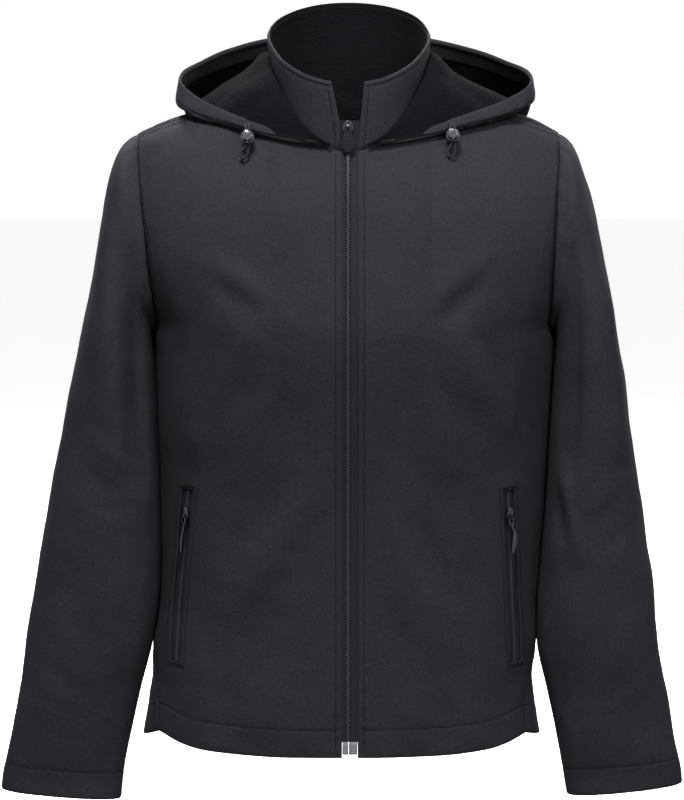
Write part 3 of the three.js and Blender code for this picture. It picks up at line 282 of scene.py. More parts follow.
def body(side, turn, run):
    """Body: turn from its middle to the side, run down from the shoulder line before it or behind."""
    turn, run = np.broadcast_arrays(np.asarray(turn, float), np.asarray(run, float))
    roll = np.where(run >= 0, FRONT_ROLL, BACK_ROLL)
    arc = np.abs(run)
    quarter = roll * math.pi / 2
    rolled = arc < quarter
    drop = np.where(rolled, roll * (1 - np.cos(arc / roll)), roll + arc - quarter)
    share = np.where(rolled, np.sin(run / roll), np.sign(run))
    z = -drop
    for _ in range(5):
        x = half_width(side, z) * np.sin(turn)
        z = shoulder_z(x) - drop
    x = x + to_sleeve(side, z) * np.abs(np.sin(turn)) ** 12
    level = np.abs(np.sin(turn)) ** BODY_POWER
    rounded = np.sign(np.cos(turn)) * np.maximum(1 - level, 0) ** (1 / BODY_POWER)
    forward = rounded * share
    depth = np.where(forward > 0, read(BODY, "front", z), read(BODY, "back", z))
    soft = np.where(forward > 0, ridge(DRAPE, side * x, z) * forward * forward, 0)
    return np.stack([side * x, -forward * (depth + soft), z], -1)


def body_normal(side, turn, run):
    step = 0.01
    across = body(side, turn + step, run) - body(side, turn - step, run)
    down = body(side, turn, run + 1) - body(side, turn, run - 1)
    return unit(np.cross(across, down) * -side)


def run_at(drop, front):
    roll = FRONT_ROLL if front else BACK_ROLL
    drop = np.asarray(drop, float)
    rolled = roll * np.arccos(np.clip(1 - drop / roll, -1, 1))
    run = np.where(drop < roll, rolled, roll * math.pi / 2 + drop - roll)
    return run if front else -run


def turn_at(side, x, run):
    turn = np.full(np.broadcast(x, run).shape, 0.5)
    for _ in range(12):
        z = body(side, turn, run)[..., 2]
        turn = np.arcsin(np.minimum(np.abs(x) / half_width(side, z), 1))
    return turn


def place_at(side, x, z, front):
    run = run_at(np.maximum(shoulder_z(x) - z, 0.01), front)
    return turn_at(side, x, run), run


def armhole(around):
    around = np.asarray(around, float)
    drop = ARMHOLE_DEPTH * (1 - np.cos(np.radians(around))) / 2
    turn = np.radians(read(ARMHOLE, "turn", np.abs(around)))
    drop = np.maximum(drop, 1e-6)
    return turn, np.where(around >= 0, run_at(drop, True), run_at(drop, False))


NECK_FRONT_RUN = float(run_at(NECK_FRONT_DROP, True))
NECK_BACK_RUN = float(run_at(NECK_BACK_DROP, False))


def neck(side, degrees):
    c = np.cos(np.radians(degrees))
    run = np.where(c >= 0, NECK_FRONT_RUN * c, -NECK_BACK_RUN * c)
    return turn_at(side, NECK_HALF_WIDTH * np.sin(np.radians(degrees)), run), run


NECK_SEAM = math.degrees(math.acos(SHOULDER_SEAM_RUN / NECK_FRONT_RUN))
NECK_FRONT_Z = float(body(-1, *neck(-1, np.array(0.5)))[2])


def shoulder_seam(side, t):
    start_turn, start_run = neck(side, np.array(NECK_SEAM))
    end_turn, end_run = armhole(SEAM_AROUND)
    run = mix(start_run, end_run, t) + SHOULDER_SEAM_BOW * np.sin(np.pi * t)
    return mix(start_turn, end_turn, t), run


def collar(side, degrees, share):
    """Stand collar's outer face: degrees round the neck, share of its height."""
    degrees, share = np.broadcast_arrays(np.asarray(degrees, float), np.asarray(share, float))
    beyond = degrees > 180
    before = degrees < 0
    degrees = np.where(beyond, 360 - degrees, np.abs(degrees))
    foot = body(side, *neck(side, degrees))
    c = np.cos(np.radians(degrees))
    s = np.sin(np.radians(degrees))
    top = np.stack([
        side * COLLAR_HALF_WIDTH * np.abs(s) ** 0.94,
        np.where(c > 0, -4 - 86 * c, -4 - 82 * c),
        2 + np.where(c > 0, 52 * np.maximum(1 - c, 0) ** 0.95, 52 - 35 * c),
    ], -1)
    out = np.stack([side * s, -c, 0 * s], -1)
    bulge = np.sin(np.pi * share)[..., None]
    point = mix(foot - 1.5 * bulge * out, top, share[..., None]) + 1.2 * bulge * out
    point[..., 0] = np.where(beyond | before, -point[..., 0], point[..., 0])
    return point


def collar_normal(side, degrees, share):
    around = collar(side, degrees + 1, share) - collar(side, degrees - 1, share)
    up = collar(side, degrees, share + 0.02) - collar(side, degrees, share - 0.02)
    return unit(np.cross(around, up) * side)


def collar_edge(side, share):
    if side < 0:
        return mix(-7, -15.6, share ** 1.6)
    return mix(8.3, 12.6, share)


def on_front(x, z, off):
    """Place on the fronts and on up the collar, near the middle line."""
    x, z = np.broadcast_arrays(np.asarray(x, float), np.asarray(z, float))

    def level(height):
        y = np.zeros(x.shape)
        for side in (-1, 1):
            turn, run = place_at(side, x, np.minimum(height, NECK_FRONT_Z), True)
            low = body(side, turn, run)[..., 1]
            share = np.clip((height - NECK_FRONT_Z) / COLLAR_FRONT, 0, 1)
            edge_degrees = math.degrees(math.asin(abs(ZIP_EDGE[side]) / NECK_HALF_WIDTH))
            edge = collar(side, edge_degrees, share)
            beside = collar(side, edge_degrees + (NECK_SEAM - edge_degrees) / 5, share)
            along = np.maximum(0, (x - edge[..., 0]) / (beside[..., 0] - edge[..., 0]))
            high = edge[..., 1] + (beside[..., 1] - edge[..., 1]) * along
            here = np.where(height < NECK_FRONT_Z, low, high)
            y = np.where((x < 0) == (side < 0), here, y)
        return y

    slope = (level(z + 2) - level(z - 2)) / 4
    normal = unit(np.stack([0 * slope, -1 + 0 * slope, slope], -1))
    return np.stack([x, level(z), z], -1) + normal * off, normal


def catmull(points, at):
    """Centripetal curve through points (last two axes: point, coordinate), read at segment counts."""
    at = np.asarray(at, dtype=float)
    count = points.shape[-2]
    i = np.clip(np.floor(at).astype(int), 0, count - 2)
    w = (at - i)[..., None]
    first = 2 * points[..., :1, :] - points[..., 1:2, :]
    last = 2 * points[..., -1:, :] - points[..., -2:-1, :]
    padded = np.concatenate([first, points, last], axis=-2)
    p0, p1, p2, p3 = (padded[..., i + k, :] for k in range(4))

    def gap(a, b):
        return np.maximum(np.linalg.norm(b - a, axis=-1, keepdims=True) ** 0.5, 1e-4)

    d0, d1, d2 = gap(p0, p1), gap(p1, p2), gap(p2, p3)
    t1 = ((p1 - p0) / d0 - (p2 - p0) / (d0 + d1) + (p2 - p1) / d1) * d1
    t2 = ((p2 - p1) / d1 - (p3 - p1) / (d1 + d2) + (p3 - p2) / d2) * d1
    c2 = -3 * p1 + 3 * p2 - 2 * t1 - t2
    c3 = 2 * p1 - 2 * p2 + t1 + t2
    return p1 + w * (t1 + w * (c2 + w * c3))


def grid_normals(points, sign, closed=False):
    """Outward directions of a grid, from its neighbours."""
    if closed:
        around = np.roll(points, -1, axis=1) - np.roll(points, 1, axis=1)
    else:
        around = np.gradient(points, axis=1)
    return unit(np.cross(around, np.gradient(points, axis=0)) * sign)


ZIP_EDGE_NECK = {side: math.degrees(math.asin(abs(x) / NECK_HALF_WIDTH)) for side, x in ZIP_EDGE.items()}
AROUND_FRONT = (SEAM_AROUND, 28, 48, 68, 88, 108, 128, 146, 163, 180)
AROUND_BACK = (SEAM_AROUND, 0, -20, -40, -60, -80, -100, -120, -140, -160, -180)


def hem_z(turn):
    return HEM_Z + HEM_SIDE_RISE * np.sin(turn) ** 6


def side_lean(z):
    return math.radians(22) * smooth(-z, 520, 640)


def panel_tops(side, front, s):
    """Upper edge of half a panel at steps s: along the neck, the shoulder seam and the armhole."""
    neck_steps = 5 if front else 6
    around_steps = AROUND_FRONT if front else AROUND_BACK
    corner = neck_steps + 4
    last = corner + len(around_steps) - 1
    start = ZIP_EDGE_NECK[side] if front else 180
    at_neck = neck(side, np.interp(s, [0, neck_steps], [start, NECK_SEAM]))
    knots = np.arange(neck_steps, corner + 1)
    at_shoulder = shoulder_seam(side, np.interp(s, knots, [0, 0.27, 0.52, 0.77, 1]))
    around = np.interp(s, np.arange(corner, last + 1), around_steps)
    at_arm = armhole(around)
    ends = [0.0 if abs(a) >= 180 else min(1, 0.6 + abs(math.sin(math.radians(a)))) for a in around_steps]
    pull = np.interp(s, np.arange(corner - 1, last + 1), np.concatenate([[0.0], ends]))
    places = [
        np.where(s <= neck_steps, a, np.where(s < corner, b, c))
        for a, b, c in zip(at_neck, at_shoulder, at_arm)
    ]
    return places[0], places[1], pull, last


def panel(side, front, s, v):
    """Half a body panel: points and outward directions, rows from the hem up."""
    top_turn, top_run, pull, last = panel_tops(side, front, s)
    share = s / last
    start = abs(ZIP_EDGE[side]) / float(half_width(side, HEM_Z)) if front else 0
    hem_turn = mix(start, math.pi / 2, share)
    hem_x = half_width(side, HEM_Z) * np.sin(hem_turn)
    hem_run = run_at(shoulder_z(hem_x) - hem_z(hem_turn), front)
    v = v[:, None]
    run = mix(hem_run, top_run, v)
    ease = v * v * (3 - 2 * v)
    turn = mix(hem_turn, top_turn, mix(v, ease, 0.5))
    z = body(side, turn, run)[..., 2]
    turn = turn + (-1 if front else 1) * side_lean(z) * share ** 3
    near = (1 - v) / 0.06
    turn = turn - math.radians(1.4) * pull * near * np.exp(1 - near)
    points = body(side, turn, run)
    if front:
        # The edge at the zip runs straight down
        beside = np.argmin(np.abs(s - 1))
        x = mix(ZIP_EDGE[side], points[:, beside:beside + 1, 0], np.minimum(s, 1))
        straight = s < 1
        turn_x, run_x = place_at(side, x[:, straight], points[:, straight, 2], True)
        points[:, straight] = body(side, turn_x, run_x)
        turn[:, straight] = turn_x
        run[:, straight] = run_x
    normals = body_normal(side, turn, run)
    hem_way = np.abs(run - hem_run)
    return points, normals, hem_way


def sleeve_rings(side):
    """A sleeve's rings from the armhole down, all round: 144 places in each."""
    degrees = np.linspace(0, 360, 144, endpoint=False)
    turn, run = armhole(np.where(degrees > 180, degrees - 360, degrees))
    seam = body(side, turn, run)
    rows = SLEEVES[side]
    c = np.cos(np.radians(degrees))
    s = np.sin(np.radians(degrees))
    out = np.sign(c) * np.abs(c) ** (2 / SLEEVE_POWER)
    forward = np.sign(s) * np.abs(s) ** (2 / SLEEVE_POWER)
    rings = [seam]
    for k in range(len(rows["row"])):
        r = {name: column[k] for name, column in rows.items()}
        rings.append(np.stack([
            (r["outX"] + r["inX"]) / 2 + (r["outX"] - r["inX"]) / 2 * out,
            r["lean"] - r["depth"] * forward,
            (r["outZ"] + r["inZ"]) / 2 + (r["outZ"] - r["inZ"]) / 2 * out,
        ], -1))
    return np.array(rings)


def hood_sections(side, degrees, shares):
    """The let-down hood on one side: shares of its way from the neck seam to its free edge."""
    value = {name: read(HOOD, name, degrees) for name in HOOD}

    def place(key):
        x = value[key + "X"]
        more = mix(1, HOOD_LEFT_REACH, np.clip((x - 100) / 60, 0, 1)) if side > 0 else 1
        return np.stack([side * x * more, value[key + "Y"], value[key + "Z"]], -1)

    def beside(share, off):
        lift = collar_normal(side, degrees, np.maximum(share, 0.1)) * (CLOTH + off)
        return collar(side, degrees, share) + lift

    rise = value["rise"]
    low = place("low")
    inward = unit(place("way") - low)
    outward = unit(place("far") - low)
    up = unit(inward + outward)
    over = unit(inward - outward)
    fold = mix(3.2, 8, smooth(degrees, 95, 135))[:, None]
    path = np.stack([
        beside(0.06 + 0 * rise, 0.6), beside(mix(0.06, rise, 0.6), 1.2), beside(rise, 3), place("way"),
        low + up * fold + over * fold, low, low + up * fold - over * fold, place("far"), place("rim"),
    ], 1)
    return np.swapaxes(catmull(path, shares), 0, 1)


# Folds of the cloth, each a soft ridge or trough: height, width, then the places of its crest,
# seen from the front or from behind. No two have the same length, depth or spacing.
FOLDS_FRONT = (
    (2.2, 13, (-140, -160), (-112, -182), (-78, -203), (-58, -210)),
    (-2.0, 10, (-130, -186), (-108, -202), (-84, -224)),
    (2.6, 17, (-92, -212), (-118, -270), (-142, -330), (-153, -372)),
    (-2.0, 12, (-112, -232), (-134, -290), (-152, -338)),
    (1.5, 12, (-62, -250), (-84, -322), (-100, -392)),
    (2.4, 20, (-20, -370), (-58, -430), (-102, -492), (-132, -540)),
    (-1.8, 14, (-48, -366), (-84, -424), (-122, -470)),
    (1.4, 15, (-64, -560), (-76, -600), (-82, -642)),
    (-1.2, 12, (-108, -570), (-116, -606), (-118, -640)),
    (2.3, 13, (142, -158), (116, -178), (86, -206), (70, -216)),
    (-1.8, 10, (128, -190), (106, -212), (92, -232)),
    (2.7, 16, (100, -222), (124, -262), (140, -312), (148, -352)),
    (-2.0, 12, (122, -232), (142, -274), (158, -322)),
    (1.6, 12, (70, -262), (90, -338), (104, -386)),
    (2.2, 20, (28, -400), (52, -456), (82, -520), (98, -566)),
    (-1.7, 14, (60, -408), (86, -462), (112, -508)),
    (1.5, 14, (50, -580), (62, -616), (68, -644)),
    (-1.2, 11, (96, -584), (100, -612), (104, -640)),
)
FOLDS_BACK = (
    (2.6, 17, (-170, -130), (-134, -150), (-96, -158), (-60, -150)),
    (2.4, 16, (168, -126), (130, -150), (90, -162), (58, -156)),
    (-2.2, 14, (-150, -172), (-118, -186), (-84, -186)),
    (-2.0, 13, (152, -168), (120, -186), (92, -190)),
    (2.8, 18, (-166, -212), (-128, -246), (-84, -268), (-48, -276)),
    (2.5, 17, (172, -208), (130, -240), (94, -268), (60, -280)),
    (-2.2, 14, (-150, -262), (-112, -292), (-76, -304)),
    (-2.4, 15, (160, -254), (118, -288), (88, -304)),
    (2.2, 20, (-36, -340), (-46, -410), (-42, -480)),
    (2.0, 22, (44, -352), (52, -424), (46, -506)),
    (-1.8, 18, (2, -350), (6, -430), (0, -520)),
    (2.4, 20, (-112, -420), (-98, -500), (-104, -590)),
    (2.2, 20, (116, -430), (104, -512), (108, -600)),
    (-1.5, 15, (-70, -540), (-74, -600), (-72, -640)),
    (-1.4, 14, (66, -556), (72, -604), (70, -642)),
)
FOLDS_SLEEVE_FRONT = (
    (4.2, 15, (-238, -120), (-234, -200), (-228, -300), (-226, -412)),
    (-4.4, 13, (-209, -140), (-206, -240), (-204, -330), (-202, -400)),
    (-1.0, 13, (-262, -200), (-262, -280), (-266, -370)),
    (0.9, 10, (-262, -330), (-242, -352), (-216, -372), (-196, -378)),
    (-0.8, 9, (-268, -362), (-246, -384), (-222, -398)),
    (0.8, 10, (-276, -396), (-252, -420), (-224, -430)),
    (0.9, 14, (-292, -500), (-274, -548), (-252, -586)),
    (-0.6, 10, (-300, -560), (-280, -584), (-256, -596)),
    (4.0, 16, (248, -150), (254, -230), (260, -300), (266, -372)),
    (-4.2, 13, (218, -150), (220, -240), (218, -330), (214, -390)),
    (2.6, 9, (206, -362), (214, -400), (222, -440), (230, -470)),
    (-2.2, 8, (200, -372), (206, -412), (214, -452)),
    (0.8, 10, (270, -372), (252, -400), (228, -420)),
    (-0.7, 9, (278, -424), (262, -444), (240, -458)),
    (0.8, 13, (286, -510), (266, -556), (244, -584)),
    (-0.6, 9, (292, -572), (272, -592), (250, -604)),
)
FOLDS_SLEEVE_BACK = (
    (2.8, 18, (-240, -130), (-244, -210), (-240, -300), (-246, -360)),
    (2.6, 12, (-206, -352), (-236, -372), (-266, -378), (-284, -370)),
    (-2.2, 10, (-208, -380), (-238, -398), (-270, -402)),
    (2.4, 12, (-204, -404), (-232, -426), (-264, -432)),
    (-1.8, 10, (-210, -436), (-240, -452), (-270, -454)),
    (1.7, 12, (-232, -540), (-262, -556), (-292, -552)),
    (2.7, 18, (240, -126), (248, -204), (246, -290), (250, -356)),
    (2.5, 12, (212, -348), (236, -370), (262, -380), (278, -374)),
    (-2.1, 10, (210, -376), (238, -396), (266, -404)),
    (2.3, 12, (206, -402), (230, -424), (260, -434)),
    (-1.7, 10, (208, -434), (236, -452), (264, -458)),
    (1.6, 12, (226, -544), (252, -560), (280, -556)),
)
# Pleats of the hood where its cloth is gathered: degrees round it, width, height, start and end
HOOD_PLEATS = (
    (30, 3.2, 1.6, 0.6, 4.6), (41, 4.0, -1.8, 0.8, 5.2), (50, 3.4, 1.9, 0.9, 6.4),
    (61, 4.4, 2.2, 1.2, 5.4), (73, 3.8, -1.7, 1.0, 6.2), (84, 4.6, 2.4, 1.6, 6.8),
    (97, 4.8, -2.0, 1.2, 5.6), (109, 5.0, 2.6, 1.4, 6.9), (124, 5.6, -2.2, 1.8, 6.4),
    (139, 6.0, 2.5, 1.5, 6.9), (156, 6.4, -2.3, 2.0, 6.7), (171, 5.2, 1.8, 1.9, 6.0),
)


def fold_relief(x, z, folds):
    """How far the folds lift the cloth at places seen from the front or from behind."""
    total = np.zeros(x.shape)
    for height, width, *crest in folds:
        crest = np.array(crest, dtype=float)
        ways = np.diff(crest, axis=0)
        lengths = np.linalg.norm(ways, axis=1)
        behind = running(lengths)
        nearest = np.full(x.shape, 1e9)
        along = np.zeros(x.shape)
        side = np.ones(x.shape)
        for start, way, length, passed in zip(crest, ways, lengths, behind):
            dx, dz = x - start[0], z - start[1]
            t = np.clip((dx * way[0] + dz * way[1]) / length ** 2, 0, 1)
            away = np.hypot(dx - way[0] * t, dz - way[1] * t)
            closer = away < nearest
            nearest = np.where(closer, away, nearest)
            along = np.where(closer, (passed + t * length) / behind[-1], along)
            side = np.where(closer, np.sign(dx * way[1] - dz * way[0]), side)
        # One flank is steeper than the other, and both ends die away
        spread = width * (1 + 0.3 * side)
        taper = np.sin(np.pi * np.clip(along, 0, 1)) ** 0.7
        total += height * np.exp(-(nearest / spread) ** 2) * taper
    return total


def slack(points, seed):
    """Uneven softness of loose cloth: long shallow waves, and short ones under a millimetre."""
    rng = np.random.default_rng(seed)
    total = np.zeros(points.shape[:-1])
    for wavelength, height in ((150, 0.9), (110, 0.8), (82, 0.55), (58, 0.4), (37, 0.22), (26, 0.14)):
        for _ in range(3):
            way = unit(rng.normal(size=3) * (1, 1, 0.7))
            phase = rng.uniform(0, 6.28)
            total += height / 1.7 * np.sin(points @ way * (2 * math.pi / wavelength) + phase)
    return total


def pucker(way, along, seed):
    """Cloth drawn in along a stitch line that lies where way is zero, in uneven small waves."""
    rng = np.random.default_rng(seed)
    wave = sum(np.sin(along * 2 * math.pi / pitch + rng.uniform(0, 6.28)) for pitch in (7.5, 11, 17))
    return -0.5 * np.exp(-(way / 1.4) ** 2) + 0.09 * wave * np.exp(-(way / 5) ** 2)


def settle(points, normals, seed, folds_front, folds_back, hold):
    """Cloth with its folds and slack; hold is 0 where sewing keeps it in place."""
    facing = normals[..., 1]
    lift = smooth(-facing, 0.1, 0.6) * fold_relief(points[..., 0], points[..., 2], folds_front)
    lift += smooth(facing, 0.1, 0.6) * fold_relief(points[..., 0], points[..., 2], folds_back)
    lift = lift * sizes().fold_height + slack(points, seed)
    return points + normals * (lift * hold)[..., None]


# Meshes


def wall(points, normals, thickness, closed=False):
    """Closed shell from a grid of outer points: places, quads, layer of each quad, their UVs."""
    rows, columns = points.shape[:2]
    inner = points - normals * np.broadcast_to(thickness, (rows, columns))[..., None]
    places = np.concatenate([points.reshape(-1, 3), inner.reshape(-1, 3)])
    across = columns if closed else columns - 1
    step = np.linalg.norm(np.diff(points, axis=1), axis=-1).mean(axis=0)
    u = np.append(running(step), step.sum() + step.mean()) * MM
    v = running(np.linalg.norm(np.diff(points, axis=0), axis=-1).mean(axis=1)) * MM
    i, j = (k.ravel() for k in np.meshgrid(np.arange(rows - 1), np.arange(across), indexing="ij"))
    quads, layers, corners = [], [], []

    def lay(layer_a, i_a, j_a, layer_b, i_b, j_b, layer_c, i_c, j_c, layer_d, i_d, j_d, kind):
        ring = []
        flat = []
        for layer, row, column in (
            (layer_a, i_a, j_a), (layer_b, i_b, j_b), (layer_c, i_c, j_c), (layer_d, i_d, j_d),
        ):
            row, column = np.broadcast_arrays(row, column)
            ring.append((layer * rows + row) * columns + column % columns)
            flat.append(np.stack([u[column], v[row]], -1))
        quads.append(np.stack(ring, -1))
        corners.append(np.stack(flat, 1))
        layers.append(np.full(len(quads[-1]), kind))

    lay(0, i, j, 0, i, j + 1, 0, i + 1, j + 1, 0, i + 1, j, 0)
    lay(1, i, j, 1, i + 1, j, 1, i + 1, j + 1, 1, i, j + 1, 1)
    j = np.arange(across)
    last = rows - 1
    lay(0, 0 * j, j, 1, 0 * j, j, 1, 0 * j, j + 1, 0, 0 * j, j + 1, 2)
    lay(0, 0 * j + last, j, 0, 0 * j + last, j + 1, 1, 0 * j + last, j + 1, 1, 0 * j + last, j, 2)
    if not closed:
        i = np.arange(rows - 1)
        k = columns - 1
        lay(0, i, 0 * i, 0, i + 1, 0 * i, 1, i + 1, 0 * i, 1, i, 0 * i, 2)
        lay(0, i, 0 * i + k, 1, i, 0 * i + k, 1, i + 1, 0 * i + k, 0, i + 1, 0 * i + k, 2)
    quads = np.concatenate(quads)
    corners = np.concatenate(corners)
    a, b, c = (places[quads[:, k]] for k in (0, 1, 2))
    if np.einsum("ij,ij->i", a, np.cross(b, c)).sum() < 0:
        quads = quads[:, ::-1]
        corners = corners[:, ::-1]
    return places, quads, np.concatenate(layers), corners


def mesh_of(name, places, faces, uvs=None, finish_of=None, sharp=40):
    """A smooth-shaded mesh from places in millimetres."""
    mesh = bpy.data.meshes.new(name)
    faces = faces.tolist() if hasattr(faces, "tolist") else faces
    mesh.from_pydata((np.asarray(places) * MM).tolist(), [], faces)
    mesh.polygons.foreach_set("use_smooth", [True] * len(mesh.polygons))
    if uvs is not None:
        mesh.uv_layers.new(name="cut").data.foreach_set("uv", np.asarray(uvs, dtype=float).ravel())
    if finish_of is not None:
        mesh.polygons.foreach_set("material_index", np.asarray(finish_of, dtype=np.int32))
    mesh.set_sharp_from_angle(angle=math.radians(sharp))
    mesh.update()
    return mesh


def piece(name, mesh, finishes, replaces=(), body_name="jacket"):
    """Puts a finished piece on its body, in place of the plain solids that it stands for."""
    made = bpy.data.objects.new(name, mesh)
    bpy.context.scene.collection.objects.link(made)
    for finish in finishes:
        mesh.materials.append(finish)
    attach(made, body_name)
    if replaces:
        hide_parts(*replaces)
    return made


def cloth_piece(solid, points, normals, thickness, closed=False):
    """A piece of cloth over its solid: woven on its outer face and edges, brushed inside."""
    places, quads, layers, uvs = wall(points, normals, thickness, closed)
    mesh = mesh_of(solid, places, quads, uvs, np.where(layers == 1, 1, 0))
    return piece(f"shell_{solid}", mesh, [finish("shell"), finish("fleece")], [solid])


def carve(made, cutter_mesh):
    """Cuts a solid's shape out of a piece."""
    cutter = bpy.data.objects.new("cutter", cutter_mesh)
    bpy.context.scene.collection.objects.link(cutter)
    cut = made.modifiers.new("cut", "BOOLEAN")
    cut.operation = "DIFFERENCE"
    cut.solver = "EXACT"
    cut.object = cutter
    depsgraph = bpy.context.evaluated_depsgraph_get()
    carved = bpy.data.meshes.new_from_object(made.evaluated_get(depsgraph))
    if len(carved.vertices) <= len(made.data.vertices) // 2:
        raise RuntimeError(f"{made.name}: the cut failed")
    carved.name = made.data.name
    made.modifiers.clear()
    made.data = carved
    bpy.data.objects.remove(cutter)


def plate(loops, back, front, rounding=0.3):
    """A flat part from outlines, first its edge and then its holes, with rounded edges."""
    curve = bpy.data.curves.new("plate", "CURVE")
    curve.dimensions = "2D"
    curve.fill_mode = "BOTH"
    for loop in loops:
        spline = curve.splines.new("POLY")
        spline.points.add(len(loop) - 1)
        for point, (x, y) in zip(spline.points, loop):
            point.co = (x, y, 0, 1)
        spline.use_cyclic_u = True
    curve.extrude = (front - back) / 2 - rounding
    curve.bevel_depth = rounding
    curve.bevel_resolution = 2
    curve.offset = -rounding
    made = bpy.data.objects.new("plate", curve)
    bpy.context.scene.collection.objects.link(made)
    mesh = bpy.data.meshes.new_from_object(made.evaluated_get(bpy.context.evaluated_depsgraph_get()))
    shape = bmesh.new()
    shape.from_mesh(mesh)
    bmesh.ops.remove_doubles(shape, verts=shape.verts, dist=1e-4)
    bmesh.ops.recalc_face_normals(shape, faces=shape.faces)
    shape.verts.index_update()
    places = np.array([v.co[:] for v in shape.verts]) + (0, 0, (front + back) / 2)
    faces = [[v.index for v in face.verts] for face in shape.faces]
    shape.free()
    bpy.data.objects.remove(made)
    return places, faces


def joined(parts):
    """Several shapes as one."""
    places, faces, count = [], [], 0
    for part_places, part_faces in parts:
        places.append(np.asarray(part_places, dtype=float))
        faces += [[k + count for k in face] for face in part_faces]
        count += len(part_places)
    return np.concatenate(places), faces


def in_frame(part, origin, across, along):
    """A flat drawing placed on the garment."""
    x = unit(np.asarray(across, float))
    z = unit(np.cross(x, along))
    return origin + np.asarray(part[0]) @ np.stack([x, np.cross(z, x), z]), part[1]


def copies(template, origins, across, along, out):
    """Many copies of one small shape, each with its own place and directions."""
    places, faces = template
    basis = np.stack([across, along, out], axis=1)
    all_places = origins[:, None, :] + np.einsum("pk,nkc->npc", places, basis)
    step = np.arange(len(origins))[:, None] * len(places)
    by_size = {}
    for face in faces:
        by_size.setdefault(len(face), []).append(face)
    all_faces = []
    for group in by_size.values():
        group = np.array(group)
        all_faces += (step[:, :, None] + group[None]).reshape(-1, group.shape[1]).tolist()
    return all_places.reshape(-1, 3), all_faces


def tube(path, radius, sides=12, closed=False, squash=1.0, up=(0, -1, 0)):
    """A round or flattened tube along a path, with UVs along and round it."""
    path = np.asarray(path, float)
    if closed:
        way = unit(np.roll(path, -1, axis=0) - np.roll(path, 1, axis=0))
    else:
        way = unit(np.gradient(path, axis=0))
    up = np.broadcast_to(up, path.shape)
    over = unit(np.cross(way, up))
    lift = np.cross(over, way)
    angle = np.linspace(0, 2 * math.pi, sides, endpoint=False)
    radius = np.broadcast_to(radius, (len(path),))[:, None, None]
    c, s = (turned[None, :, None] for turned in (np.cos(angle), np.sin(angle)))
    rings = path[:, None] + radius * (c * over[:, None] + squash * s * lift[:, None])
    count = len(path)
    rows = count if closed else count - 1
    i, j = (k.ravel() for k in np.meshgrid(np.arange(rows), np.arange(sides), indexing="ij"))
    after = (i + 1) % count
    quads = np.stack([i * sides + j, i * sides + (j + 1) % sides, after * sides + (j + 1) % sides,
                      after * sides + j], -1)
    length = running(np.linalg.norm(np.diff(path, axis=0), axis=1))
    length = np.append(length, length[-1] + 1) * MM
    turn = 2 * math.pi * float(radius.max()) * MM / sides
    uvs = np.stack([
        np.stack([j * turn, length[i]], -1), np.stack([(j + 1) * turn, length[i]], -1),
        np.stack([(j + 1) * turn, length[i + 1]], -1), np.stack([j * turn, length[i + 1]], -1),
    ], 1).reshape(-1, 2)
    faces = quads.tolist()
    if not closed:
        faces += [list(range(sides))[::-1], list(range((count - 1) * sides, count * sides))]
        uvs = np.concatenate([uvs, np.zeros((2 * sides, 2))])
    return rings.reshape(-1, 3), faces, uvs


def evenly(line, pitch):
    """Places at an even pitch along a line, and where each lies between the line's own."""
    length = running(np.linalg.norm(np.diff(line, axis=0), axis=1))
    count = max(int(length[-1] / pitch), 1)
    at = np.interp(np.linspace(0, length[-1], count + 1), length, np.arange(len(line)))
    return between(line, at), at


def thread_stitch():
    """One lock stitch, 1 mm long, along y: thread that dips into the cloth at both ends."""
    sides = 5
    places = []
    for along, wide, lift in ((-0.5, 0.35, -0.25), (-0.3, 1, 0.3), (0.3, 1, 0.3), (0.5, 0.35, -0.25)):
        for k in range(sides):
            a = 2 * math.pi * k / sides
            places.append((wide * math.cos(a), along, wide * 0.85 * math.sin(a) + lift))
    return np.array(places), stacked_faces(sides, 4)


def stacked_faces(count, rings):
    """Faces of a closed solid made of rings, each of count places, one over the other."""
    faces = [[r * count + k, r * count + (k + 1) % count,
              (r + 1) * count + (k + 1) % count, (r + 1) * count + k]
             for r in range(rings - 1) for k in range(count)]
    return faces + [list(range(count))[::-1], list(range((rings - 1) * count, rings * count))]


def sew(name, rows, cloth, body_name="jacket"):
    """Rows of lock stitches on the face of a piece; each row has places and outward directions."""
    pitch = sizes().stitch_pitch / MM
    tree = BVHTree.FromObject(cloth, bpy.context.evaluated_depsgraph_get())
    origins, alongs, outs, lengths = [], [], [], []
    for line, out in rows:
        places, at = evenly(line, pitch)
        facing = unit(between(out, at))
        found = []
        for place, way in zip(places, facing):
            hit = tree.ray_cast(Vector((place + way * 9) * MM), Vector(-way), 0.016)
            if hit[0] is None:
                found.append(None)
                continue
            face = np.array(hit[1])
            found.append((np.array(hit[0]) / MM, face if face @ way > 0 else -face))
        for a, b in zip(found, found[1:]):
            if a is None or b is None:
                continue
            way = b[0] - a[0]
            length = np.linalg.norm(way)
            if not 0.4 * pitch < length < 1.7 * pitch:
                continue
            origins.append((a[0] + b[0]) / 2)
            alongs.append(way / length)
            outs.append(a[1] + b[1])
            lengths.append(length * 0.84)
    if not origins:
        raise RuntimeError(f"{name}: no stitch reached its cloth")
    along = np.array(alongs)
    out = unit(np.array(outs) - along * np.einsum("ij,ij->i", np.array(outs), along)[:, None])
    thick = sizes().thread_thickness / MM / 2
    across = np.cross(along, out) * thick
    along = along * np.array(lengths)[:, None]
    shape = copies(thread_stitch(), np.array(origins), across, along, out * thick)
    return piece(name, mesh_of(name, *shape, sharp=180), [finish("thread")], (), body_name)


# Finishes. Colours are sRGB, from the sidebar's settings or written here.


def linear(colour):
    """An sRGB hex number as the linear colour that shaders take."""
    parts = [((colour >> shift) & 255) / 255 for shift in (16, 8, 0)]
    return [p / 12.92 if p <= 0.04045 else ((p + 0.055) / 1.055) ** 2.4 for p in parts] + [1.0]


